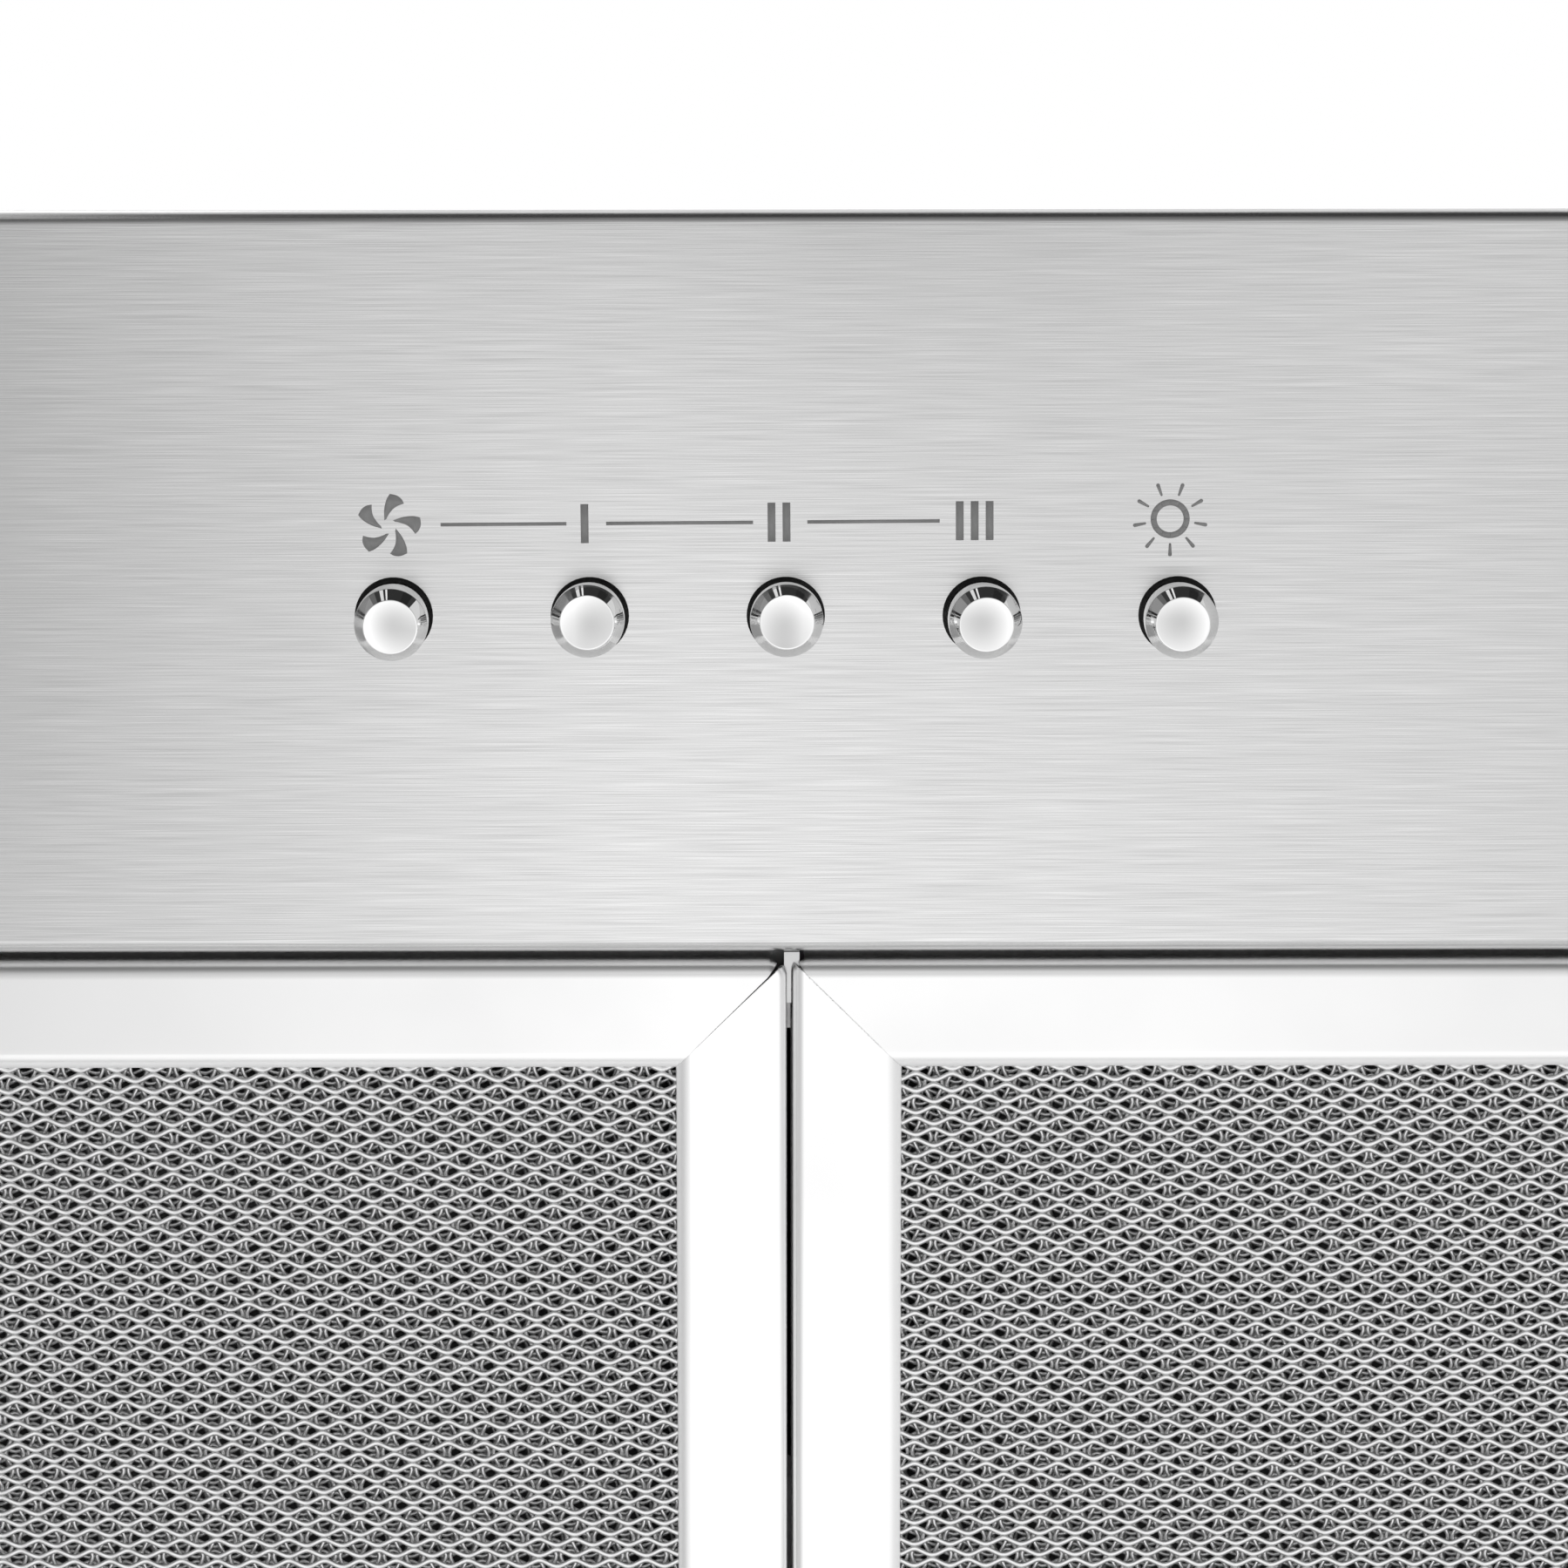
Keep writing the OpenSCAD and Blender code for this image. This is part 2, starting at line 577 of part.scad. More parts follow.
// Three sheets stand at the faces and middle of the pack of stretched mesh
module filter_mesh(side) {
  inset = 1.2;
  color("darkgray") on_side(side) difference() {
    for (z = [filter_z + 1, filter_z + filter_h / 2 - 0.2, filter_top - 1.4])
      box([filter_x[0] + inset, filter_y + inset, z],
        [filter_x[1] - inset, filter_back - inset, z + 0.4]);
    box([latch_x - 20.4, filter_y - 1, filter_z - 1],
      [latch_x + 20.4, filter_y + frame_w + 26.4, filter_top + 1]);
    box([-1, filter_y - 1, filter_z], [tab_w + 1.2, panel_y + tab_len + 1, filter_top + 1]);
  }
}
module latch_housing(side) {
  y0 = filter_y + frame_w;
  color("dimgray") on_side(side) difference() {
    box([latch_x - 20, y0, filter_z + 0.3], [latch_x + 20, y0 + 26, filter_top - 0.3]);
    box([latch_x - 18.5, y0 + 1.5, filter_z - 1], [latch_x + 18.5, y0 + 24.5, filter_top - 1.1]);
    box([latch_x - 8.4, y0 - 1, hook_z - 0.4], [latch_x + 8.4, y0 + 3, hook_z + 1.8]);
  }
}
module latch_slide(side) {
  y0 = filter_y + frame_w;
  color("black") on_side(side) {
    box([latch_x - 8, panel_y - latch_reach, hook_z], [latch_x + 8, y0 + 13, hook_z + 1.5]);
    box([latch_x - 12, y0 + 5, filter_z - 6], [latch_x + 12, y0 + 8, hook_z]);
  }
}
module latch_spring(side) {
  y0 = filter_y + frame_w;
  color("silver") on_side(side) translate([latch_x, y0 + 13, hook_z - 1.6]) rotate([-90, 0, 0])
    ring(0.9, 1.4, 0, 11.5);
}

// ---- Screws ----
module sheet_screws() {
  color("lightgray") {
    for (x = [-1, 1], y = [-1, 1])
      pan_head([x * (duct_w / 2 + 9), duct_y + y * (duct_d / 2 - 8)], plenum_top, false);
    for (x = [-1, 1], y = [-6, 6])
      pan_head([control_x + x * (switch_half.x + 9), line_y + y], panel_in + 1.2, true);
    for (x = [jbox[0].x + 8, jbox[1].x - 8])
      pan_head([x, (jbox[0].y + jbox[1].y) / 2], jbox[0].z, false);
  }
}
module blower_screws() {
  color("lightgray") {
    at_blower() for (a = [45 : 90 : 315])
      pan_head([51 * cos(a), 51 * sin(a)], scroll_z[1] + 3, true);
    for (y = [-23, 23]) pan_head([capacitor_at.x + 27, capacitor_at.y + y], -3, false);
  }
}

front_canopy();
side_panel(-1);  // side_panel_left
side_panel(1);  // side_panel_right
top_plate();
back_panel();
rear_filter_rail();
front_filter_rail();
duct_collar();
damper_pin();
damper_flap();
rear_outlet_cover();
cable_grommet();
junction_box();
junction_box_cover();
discharge_plenum();
blower_housing();
blower_cover();
inlet_ring();
finger_guard();
blower_standoffs();
motor_can();
motor_stator();
motor_bushes();
motor_rotor();
impeller();
run_capacitor();
capacitor_clip();
switch_body();
switch_cover();
switch_terminals();
switch_brackets();
button_springs();
button_cap(1);  // button_cap_1
button_cap(2);  // button_cap_2
button_cap(3);  // button_cap_3
button_cap(4);  // button_cap_4
button_cap(5);  // button_cap_5
button_stem(1);  // button_stem_1
button_stem(2);  // button_stem_2
button_stem(3);  // button_stem_3
button_stem(4);  // button_stem_4
button_stem(5);  // button_stem_5
lamp_bezels();
lamp_lenses();
lamp_cans();
lamp_boards();
filter_frame(-1);  // filter_frame_left
filter_frame(1);  // filter_frame_right
filter_mesh(-1);  // filter_mesh_left
filter_mesh(1);  // filter_mesh_right
latch_housing(-1);  // latch_housing_left
latch_housing(1);  // latch_housing_right
latch_slide(-1);  // latch_slide_left
latch_slide(1);  // latch_slide_right
latch_spring(-1);  // latch_spring_left
latch_spring(1);  // latch_spring_right
wiring_controls();
wiring_lamps();
sheet_screws();
blower_screws();
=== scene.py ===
import json
import math
import bpy
import numpy as np
from mathutils import Matrix, Vector


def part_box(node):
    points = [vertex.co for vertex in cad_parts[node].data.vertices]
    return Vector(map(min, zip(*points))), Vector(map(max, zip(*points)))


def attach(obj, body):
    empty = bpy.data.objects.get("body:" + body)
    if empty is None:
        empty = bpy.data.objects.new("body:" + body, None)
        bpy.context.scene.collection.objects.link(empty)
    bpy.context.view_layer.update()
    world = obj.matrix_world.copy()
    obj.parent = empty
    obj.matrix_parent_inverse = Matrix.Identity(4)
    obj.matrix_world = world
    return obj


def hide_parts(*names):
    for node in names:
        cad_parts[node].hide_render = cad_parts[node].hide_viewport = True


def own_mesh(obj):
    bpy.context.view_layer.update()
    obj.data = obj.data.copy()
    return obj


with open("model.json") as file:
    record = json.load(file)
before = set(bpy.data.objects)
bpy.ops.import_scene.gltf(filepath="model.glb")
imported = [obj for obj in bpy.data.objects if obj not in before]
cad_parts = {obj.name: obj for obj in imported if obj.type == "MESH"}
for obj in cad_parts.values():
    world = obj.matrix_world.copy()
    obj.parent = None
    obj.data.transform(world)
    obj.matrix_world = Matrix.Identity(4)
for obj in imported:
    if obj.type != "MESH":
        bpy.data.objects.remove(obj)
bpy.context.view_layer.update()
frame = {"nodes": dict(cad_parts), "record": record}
nodes = frame["nodes"]
MM = 0.001


# ---- Places worked out from the frame ----
base_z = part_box("front_canopy")[0].z
switch_low, switch_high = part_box("switch_body")
control_x = (switch_low.x + switch_high.x) / 2
line_y = (switch_low.y + switch_high.y) / 2
frame_low, frame_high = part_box("filter_frame_right")
mesh_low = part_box("filter_mesh_right")[0]
housing_low, housing_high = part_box("latch_housing_right")
slide_low, slide_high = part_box("latch_slide_right")
hook_len = 7 * MM
filter_back = frame_high.y - hook_len


def button_x(i):
    low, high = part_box(f"button_stem_{i}")
    return (low.x + high.x) / 2


def for_side(points, side):
    """Points of a right-hand piece, mirrored across the hood for the left-hand one."""
    return points * [-1, 1, 1] if side == "left" else points


# ---- Mesh helpers ----
def raw_mesh(name, points, faces):
    """Mesh from an array of points and a list of arrays of faces, each array with one corner count."""
    mesh = bpy.data.meshes.new(name)
    faces = [np.asarray(f, np.int32) for f in faces if len(f)]
    corners = np.concatenate([f.ravel() for f in faces])
    totals = np.concatenate([np.full(len(f), f.shape[1], np.int32) for f in faces])
    starts = np.concatenate([[0], np.cumsum(totals)[:-1]]).astype(np.int32)
    mesh.vertices.add(len(points))
    mesh.vertices.foreach_set("co", np.asarray(points, np.float32).ravel())
    mesh.loops.add(len(corners))
    mesh.loops.foreach_set("vertex_index", corners)
    mesh.polygons.add(len(totals))
    mesh.polygons.foreach_set("loop_start", starts)
    mesh.polygons.foreach_set("loop_total", totals)
    mesh.update(calc_edges=True)
    mesh.validate()
    return mesh


def piece(name, mesh, body, material, replaced=(), smooth=None):
    """New piece that rides on a body. smooth is the angle in degrees above which an edge stays sharp."""
    obj = bpy.data.objects.new(name, mesh)
    bpy.context.scene.collection.objects.link(obj)
    mesh.materials.append(material)
    if smooth is not None:
        mesh.polygons.foreach_set("use_smooth", np.ones(len(mesh.polygons), bool))
        mesh.set_sharp_from_angle(angle=math.radians(smooth))
    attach(obj, body)
    if replaced:
        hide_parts(*replaced)
    return obj


def swept(rings):
    """Points, faces of a closed bar through rings of points, each ring in the same order, with flat ends."""
    count = len(rings[0])
    points = np.array(rings, float).reshape(-1, 3)
    k = np.arange(count)
    after = (k + 1) % count
    walls = []
    for i in range(len(rings) - 1):
        a = i * count
        walls.append(np.stack([a + k, a + after, a + count + after, a + count + k], 1))
    last = (len(rings) - 1) * count
    ends = [k[::-1][None, :], (last + k)[None, :]]
    return points, np.concatenate(walls), ends


def joined(parts):
    """One list of points and faces from several swept bars."""
    points, quads, ends, base = [], [], [], 0
    for p, q, e in parts:
        points.append(p)
        quads.append(q + base)
        ends += [x + base for x in e]
        base += len(p)
    by_count = {}
    for e in ends:
        by_count.setdefault(e.shape[1], []).append(e)
    return np.concatenate(points), [np.concatenate(quads)] + [np.concatenate(v) for v in by_count.values()]


def arc(centre, radius, start, stop, steps):
    """Points on an arc in a plane, from one angle to another, in degrees."""
    return [(centre[0] + radius * math.cos(math.radians(a)), centre[1] + radius * math.sin(math.radians(a)))
            for a in np.linspace(start, stop, steps + 1)]


# ---- Material helpers ----
def map_range(tree, value, limits, smooth=False):
    """A value moved from one range to another. limits is (from low, from high, to low, to high)."""
    node = tree.nodes.new("ShaderNodeMapRange")
    if smooth:
        node.interpolation_type = "SMOOTHSTEP"
    for key, number in zip(("From Min", "From Max", "To Min", "To Max"), limits):
        node.inputs[key].default_value = number
    tree.links.new(value, node.inputs["Value"])
    return node.outputs["Result"]


def operate(tree, operation, *values, kind="ShaderNodeMath"):
    """Result of a maths node on numbers, vectors and outputs of other nodes."""
    node = tree.nodes.new(kind)
    node.operation = operation
    for socket, value in zip(node.inputs, values):
        if hasattr(value, "is_output"):
            tree.links.new(value, socket)
        else:
            socket.default_value = value
    return node.outputs["Value"]


class Nodes:
    """A material and short ways to add nodes to it."""

    def __init__(self, name, colour, rough, metallic=0.0):
        self.material = bpy.data.materials.new(name)
        self.material.use_nodes = True
        self.tree = self.material.node_tree
        self.shader = self.tree.nodes["Principled BSDF"]
        self.shader.inputs["Base Color"].default_value = (*colour, 1)
        self.shader.inputs["Roughness"].default_value = rough
        self.shader.inputs["Metallic"].default_value = metallic
        self.where = self.tree.nodes.new("ShaderNodeTexCoord").outputs["Object"]

    def link(self, a, b):
        self.tree.links.new(a, b)

    def stretched(self, scale):
        """Object coordinates, in metres, times a scale along each axis."""
        node = self.tree.nodes.new("ShaderNodeMapping")
        node.inputs["Scale"].default_value = scale
        self.link(self.where, node.inputs["Vector"])
        return node.outputs["Vector"]

    def noise(self, scale, detail=3.0, rough=0.55):
        """Noise from 0 to 1. scale is features per metre, one number or one along each axis."""
        node = self.tree.nodes.new("ShaderNodeTexNoise")
        node.inputs["Scale"].default_value = 1.0
        node.inputs["Detail"].default_value = detail
        node.inputs["Roughness"].default_value = rough
        scale = scale if isinstance(scale, tuple) else (scale,) * 3
        self.link(self.stretched(scale), node.inputs["Vector"])
        return node.outputs["Fac"]

    def cells(self, scale):
        """One random grey for each crystal of a spangle."""
        node = self.tree.nodes.new("ShaderNodeTexVoronoi")
        node.inputs["Scale"].default_value = 1.0
        self.link(self.stretched((scale,) * 3), node.inputs["Vector"])
        split = self.tree.nodes.new("ShaderNodeSeparateColor")
        self.link(node.outputs["Color"], split.inputs["Color"])
        return split.outputs["Red"]

    def ranged(self, value, low, high, out_low, out_high):
        return map_range(self.tree, value, (low, high, out_low, out_high))

    def maths(self, operation, *values):
        return operate(self.tree, operation, *values)

    def coloured(self, value, low, high):
        """Base colour mixed between two colours by a value from 0 to 1."""
        node = self.tree.nodes.new("ShaderNodeMix")
        node.data_type = "RGBA"
        node.inputs["A"].default_value = (*low, 1)
        node.inputs["B"].default_value = (*high, 1)
        self.link(value, node.inputs["Factor"])
        self.link(node.outputs["Result"], self.shader.inputs["Base Color"])

    def roughened(self, value):
        self.link(value, self.shader.inputs["Roughness"])

    def bumped(self, height, depth, strength=1.0):
        """Bump whose full height is depth metres."""
        node = self.tree.nodes.new("ShaderNodeBump")
        node.inputs["Strength"].default_value = strength
        node.inputs["Distance"].default_value = depth
        self.link(height, node.inputs["Height"])
        self.link(node.outputs["Normal"], self.shader.inputs["Normal"])


def grey(value, warm=0.0):
    return (value * (1 + warm), value, value * (1 - warm))


def brushed(name, along, low=0.57, high=0.8, rough=(0.19, 0.25), aniso=0.7):
    """Brushed steel with its grain along X (0) or Y (1)."""
    made = Nodes(name, grey((low + high) / 2), sum(rough) / 2, 1.0)
    fine = [9000.0] * 3
    fine[along] = 70.0
    broad = [2200.0] * 3
    broad[along] = 9.0
    streak = made.noise(tuple(fine), 1.0, 0.6)
    band = made.noise(tuple(broad), 3.0, 0.65)
    both = made.maths("ADD", made.maths("MULTIPLY", streak, 0.68), made.maths("MULTIPLY", band, 0.32))
    made.coloured(made.ranged(both, 0.3, 0.7, 0.0, 1.0), grey(low), grey(high))
    made.roughened(made.ranged(both, 0.3, 0.7, rough[1], rough[0]))
    made.bumped(band, 0.001 * MM, 0.4)
    made.shader.inputs["Anisotropic"].default_value = aniso
    tangent = made.tree.nodes.new("ShaderNodeCombineXYZ")
    tangent.inputs["Y" if along == 0 else "Z"].default_value = 1.0
    made.link(tangent.outputs["Vector"], made.shader.inputs["Tangent"])
    return made.material


def satin(name, low, high, rough, scale, metallic=1.0, bump=0.0, fine=0.0):
    """Satin or moulded surface with soft cloudy changes of colour and gloss, and a fine grain."""
    made = Nodes(name, low, rough[0], metallic)
    cloud = made.noise(scale, 3.0, 0.5)
    made.coloured(made.ranged(cloud, 0.3, 0.7, 0.0, 1.0), low, high)
    made.roughened(made.ranged(cloud, 0.3, 0.7, rough[1], rough[0]))
    if bump:
        made.bumped(made.noise(fine or scale * 12, 2.0, 0.6), bump)
    return made.material


def galvanised(name):
    made = Nodes(name, grey(0.5), 0.5, 1.0)
    crystal = made.cells(110.0)
    cloud = made.noise(25.0, 2.0)
    both = made.maths("ADD", made.maths("MULTIPLY", crystal, 0.55), made.maths("MULTIPLY", cloud, 0.45))
    made.coloured(both, grey(0.46), (0.66, 0.675, 0.69))
    made.roughened(made.ranged(both, 0.0, 1.0, 0.52, 0.34))
    made.bumped(crystal, 0.01 * MM, 0.4)
    return made.material


def plain(name, colour, rough, metallic):
    """Constant material for the dense mesh pieces, whose own strands are their detail."""
    return Nodes(name, colour, rough, metallic).material


MATERIALS = {
    "brushed_steel": brushed("brushed_steel", 0),
    "rail_steel": satin("rail_steel", grey(0.55), grey(0.64), (0.24, 0.34), 90.0),
    "galvanised": galvanised("galvanised"),
    "damper_aluminium": satin("damper_aluminium", grey(0.6), grey(0.72), (0.3, 0.42), 60.0),
    "zinc_steel": satin("zinc_steel", grey(0.5), (0.62, 0.62, 0.6), (0.25, 0.4), 400.0),
    "rubber_black": satin("rubber_black", grey(0.018), grey(0.03), (0.6, 0.75), 300.0, 0.0, 0.02 * MM),
    "motor_paint": satin("motor_paint", grey(0.02), grey(0.035), (0.3, 0.42), 120.0, 0.0, 0.03 * MM),
    "windings": satin("windings", (0.36, 0.13, 0.05), (0.55, 0.24, 0.1), (0.25, 0.4), 500.0),
    "bronze": satin("bronze", (0.5, 0.32, 0.14), (0.6, 0.4, 0.2), (0.35, 0.5), 800.0),
    "rotor_steel": satin("rotor_steel", grey(0.45), grey(0.55), (0.2, 0.3), 500.0),
    "wheel_plastic": satin("wheel_plastic", grey(0.03), grey(0.045), (0.38, 0.5), 150.0, 0.0, 0.02 * MM),
    "capacitor_white": satin("capacitor_white", grey(0.72), (0.78, 0.78, 0.75), (0.25, 0.35), 80.0, 0.0),
    "switch_black": satin("switch_black", grey(0.012), grey(0.018), (0.45, 0.6), 400.0, 0.0, 0.01 * MM),
    "terminal_brass": satin("terminal_brass", (0.6, 0.42, 0.16), (0.72, 0.52, 0.24), (0.25, 0.4), 500.0),
    "chrome": satin("chrome", grey(0.86), grey(0.92), (0.02, 0.05), 500.0),
    "lamp_rim": satin("lamp_rim", grey(0.66), grey(0.74), (0.16, 0.26), 200.0),
    "lamp_metal": satin("lamp_metal", grey(0.55), grey(0.66), (0.35, 0.5), 120.0),
    "lamp_board": satin("lamp_board", grey(0.75), (0.82, 0.82, 0.78), (0.35, 0.5), 300.0, 0.0),
    "filter_aluminium": satin("filter_aluminium", grey(0.95), grey(0.985), (0.28, 0.33), 30.0),
    "mesh_aluminium": plain("mesh_aluminium", grey(0.93), 0.38, 1.0),
    "latch_grey": satin("latch_grey", grey(0.06), grey(0.08), (0.45, 0.6), 300.0, 0.0, 0.01 * MM),
    "latch_black": satin("latch_black", grey(0.02), grey(0.03), (0.4, 0.55), 300.0, 0.0, 0.01 * MM),
    "wire_grey": satin("wire_grey", grey(0.3), grey(0.36), (0.4, 0.5), 200.0, 0.0),
}
# Lit and shaded copies of the mesh aluminium, one for each depth, front layer first: painted light and shade inside
# the pack, darkest for the deep layers.
mesh_shaded_by_depth = [MATERIALS["mesh_aluminium"]] + [plain(f"mesh_layer_{k}", grey(v), 0.4, 1.0)
                                             for k, v in ((2, 0.96), (3, 0.85), (4, 0.4), (5, 0.4))]
# Near-black sheet for the middle of the filter pack: painted shade.
core_painted_shade = satin("mesh_core_painted_shade", grey(0.05), grey(0.08), (0.5, 0.6), 900.0, 0.0)
side_steel = brushed("brushed_steel_side", 1)
ink = satin("print_grey", grey(0.27), grey(0.3), (0.5, 0.6), 900.0, 0.0)


def frosted():
    made = Nodes("lamp_diffuser", grey(0.92), 0.45)
    made.shader.inputs["Transmission Weight"].default_value = 0.35
    made.shader.inputs["IOR"].default_value = 1.49
    dimple = made.noise(600.0, 1.0)
    made.bumped(dimple, 0.05 * MM)
    made.coloured(dimple, grey(0.86), grey(0.94))
    return made.material


MATERIALS["lamp_diffuser"] = frosted()


def paint_nodes():
    """Every CAD node takes the material of its slot in the record."""
    for entry in frame["record"]["subparts"]:
        obj = nodes[entry["node"]]
        material = MATERIALS[entry["material_slot"]]
        if entry["node"].startswith("side_panel"):
            material = side_steel
        obj.data.materials.clear()
        obj.data.materials.append(material)


paint_nodes()


# ---- Softened edges on the CAD sheets ----
def whole_mesh_group():
    """Joins the vertices of an imported node and shades it smooth, so that a bevel can follow."""
    group = bpy.data.node_groups.new("whole_mesh", "GeometryNodeTree")
    group.interface.new_socket("Geometry", in_out="INPUT", socket_type="NodeSocketGeometry")
    group.interface.new_socket("Geometry", in_out="OUTPUT", socket_type="NodeSocketGeometry")
    start = group.nodes.new("NodeGroupInput")
    merge = group.nodes.new("GeometryNodeMergeByDistance")
    merge.inputs["Distance"].default_value = 0.001 * MM
    drop = group.nodes.new("GeometryNodeRemoveAttribute")
    drop.inputs["Name"].default_value = "custom_normal"
    smooth = group.nodes.new("GeometryNodeSetShadeSmooth")
    crease = group.nodes.new("GeometryNodeSetShadeSmooth")
    crease.domain = "EDGE"
    crease.inputs["Shade Smooth"].default_value = False
    fold = group.nodes.new("GeometryNodeInputMeshEdgeAngle")
    steep = group.nodes.new("FunctionNodeCompare")
    steep.inputs["B"].default_value = math.radians(32)
    group.links.new(fold.outputs["Unsigned Angle"], steep.inputs["A"])
    group.links.new(steep.outputs["Result"], crease.inputs["Selection"])
    end = group.nodes.new("NodeGroupOutput")
    chain = [start, drop, merge, smooth, crease, end]
    for a, b in zip(chain, chain[1:]):
        group.links.new(a.outputs[0], b.inputs["Geometry"])
    return group


whole_mesh = whole_mesh_group()


def soften(name, width):
    """Smooth shading for a sheet, with its steep edges bevelled, or kept sharp if the width is 0."""
    obj = nodes[name]
    join = obj.modifiers.new("whole", "NODES")
    join.node_group = whole_mesh
    if width:
        bevel = obj.modifiers.new("bevel", "BEVEL")
        bevel.width = width
        bevel.segments = 2
        bevel.limit_method = "ANGLE"
        bevel.angle_limit = math.radians(50)
        bevel.use_clamp_overlap = True
    weigh = obj.modifiers.new("weigh", "WEIGHTED_NORMAL")
    weigh.weight = 50
    weigh.keep_sharp = width == 0


for name in ("side_panel_left", "side_panel_right", "back_panel", "rear_filter_rail", "duct_collar"):
    soften(name, 0.2 * MM)
for name in ("front_canopy", "top_plate", "front_filter_rail"):
    soften(name, 0)


# ---- Chromed button caps ----
CAP_R = 4.65 * MM
CAP_BEVEL = (1.2 * MM, 1.45 * MM)
CAP_DISH = 0.12 * MM
CAP_ROUND = 0.1 * MM
CAP_SEAT = 4.4 * MM   # Root of the cap above the low end of its stem.
CAP_STAND = 7.5 * MM  # Face of the cap below the panel.
# Lean of each cap in degrees: sideways, then to the rear.
CAP_LEAN = ((0.2, 2.8), (-0.9, -0.8), (0.8, -0.9), (2.2, 1.5), (0.8, 1.5))


def rounded(path, radius, steps=4):
    """A path in a plane with each inner corner rounded to about the given radius."""
    p = [np.array(x, float) for x in path]
    out = [tuple(p[0])]
    for a, b, c in zip(p, p[1:], p[2:]):
        start = b + (a - b) / np.linalg.norm(a - b) * radius
        stop = b + (c - b) / np.linalg.norm(c - b) * radius
        for u in np.linspace(0, 1, steps + 1):
            out.append(tuple((1 - u) ** 2 * start + 2 * u * (1 - u) * b + u * u * stop))
    return out + [tuple(p[-1])]


def turned(profile, sides):
    """Closed solid turned about Z from (radius, height) pairs that start and end on the axis."""
    body = profile[1:-1]
    a = np.linspace(0, 2 * math.pi, sides, endpoint=False)
    rings = [np.column_stack([r * np.cos(a), r * np.sin(a), np.full(sides, z)]) for r, z in body]
    points = np.concatenate([[(0, 0, profile[0][1])]] + rings + [[(0, 0, profile[-1][1])]])
    k = np.arange(sides)
    after = (k + 1) % sides
    quads = [np.stack([1 + i * sides + after, 1 + i * sides + k, 1 + (i + 1) * sides + k,
                       1 + (i + 1) * sides + after], 1) for i in range(len(body) - 1)]
    last = 1 + (len(body) - 1) * sides
    first_fan = np.stack([np.zeros(sides, int), 1 + k, 1 + after], 1)
    last_fan = np.stack([np.full(sides, len(points) - 1), last + after, last + k], 1)
    return points, [np.concatenate(quads), np.concatenate([first_fan, last_fan])]


def button_cap(i):
    """Cap with a rounded bevel and a shallow dish, leaning a little on its stem."""
    root_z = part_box(f"button_stem_{i}")[0].z + CAP_SEAT
    length = root_z - (base_z - CAP_STAND)
    flat_r = CAP_R - CAP_BEVEL[0]
    dish = [(flat_r * u, -length + CAP_DISH * (1 - u * u)) for u in np.linspace(0, 0.94, 12)]
    side = [(0, 0), (CAP_R, 0), (CAP_R, -length + CAP_BEVEL[1]), (flat_r, -length), dish[-1]]
    outline = rounded(side, CAP_ROUND)
    points, faces = turned(outline[:-1] + dish[::-1], 128)
    mesh = raw_mesh(f"cap_{i}", points, faces)
    lean_x, lean_y = CAP_LEAN[i - 1]
    place = Matrix.Translation((button_x(i), line_y, root_z))
    lean = Matrix.Rotation(math.radians(-lean_x), 4, "Y") @ Matrix.Rotation(math.radians(lean_y), 4, "X")
    mesh.transform(place @ lean)
    return piece(f"cap_{i}", mesh, f"button_{i}", cap_chrome, [f"button_cap_{i}"], 30)


def button_chrome_painted_reflection():
    """Chrome with a painted reflection: its base colour turns grey towards the middle of each button's face."""
    made = Nodes("button_chrome_painted_reflection", grey(0.9), 0.04, 1.0)
    step = button_x(2) - button_x(1)
    split = made.tree.nodes.new("ShaderNodeSeparateXYZ")
    made.link(made.where, split.inputs["Vector"])
    # Distance along X from the nearest button, by a remainder whose start is moved to stay positive.
    across = made.maths("ADD", made.maths("SUBTRACT", split.outputs["X"], control_x), 20.5 * step)
    across = made.maths("SUBTRACT", made.maths("MODULO", across, step), step / 2)
    deep = made.maths("SUBTRACT", split.outputs["Y"], line_y)
    away = made.maths("SQRT", made.maths("ADD", made.maths("MULTIPLY", across, across),
                                         made.maths("MULTIPLY", deep, deep)))
    share = made.ranged(away, 0.2 * MM, CAP_R - CAP_BEVEL[0], 0.0, 1.0)
    # Painted reflection: grey in the middle of each face, full chrome towards the bevel.
    made.coloured(made.maths("POWER", share, 1.5), grey(0.6), grey(0.92))
    made.roughened(made.ranged(made.noise(500.0), 0.3, 0.7, 0.05, 0.02))
    return made.material


cap_chrome = button_chrome_painted_reflection()
for i in range(1, 6):
    button_cap(i)


# ---- Printed symbols ----
PRINT_GAP = 0.02 * MM
symbol_y = line_y - 11.98 * MM
PRINT_TILT = math.radians(-0.35)


def printed(name, outlines):
    """Flat print just proud of the panel, from closed outlines in millimetres about the middle."""
    parts = []
    for outline in outlines:
        flat = np.array(outline, float) * MM
        cos, sin = math.cos(PRINT_TILT), math.sin(PRINT_TILT)
        tilted = np.stack([flat[:, 0] * cos - flat[:, 1] * sin, flat[:, 0] * sin + flat[:, 1] * cos], 1)
        place = tilted + [control_x, symbol_y]
        rings = [np.column_stack([place, np.full(len(place), z)])
                 for z in (base_z + PRINT_GAP, base_z - PRINT_GAP)]
        parts.append(swept(rings))
    points, faces = joined(parts)
    return piece(name, raw_mesh(name, points, faces), "hood", ink)


def bar(x, y, width, height):
    return [(x - width / 2, y - height / 2), (x + width / 2, y - height / 2),
            (x + width / 2, y + height / 2), (x - width / 2, y + height / 2)]


def polar(radius, angle):
    """Point at a clock angle: 90 degrees is towards the front of the hood."""
    return (radius * math.cos(math.radians(angle)), -radius * math.sin(math.radians(angle)))


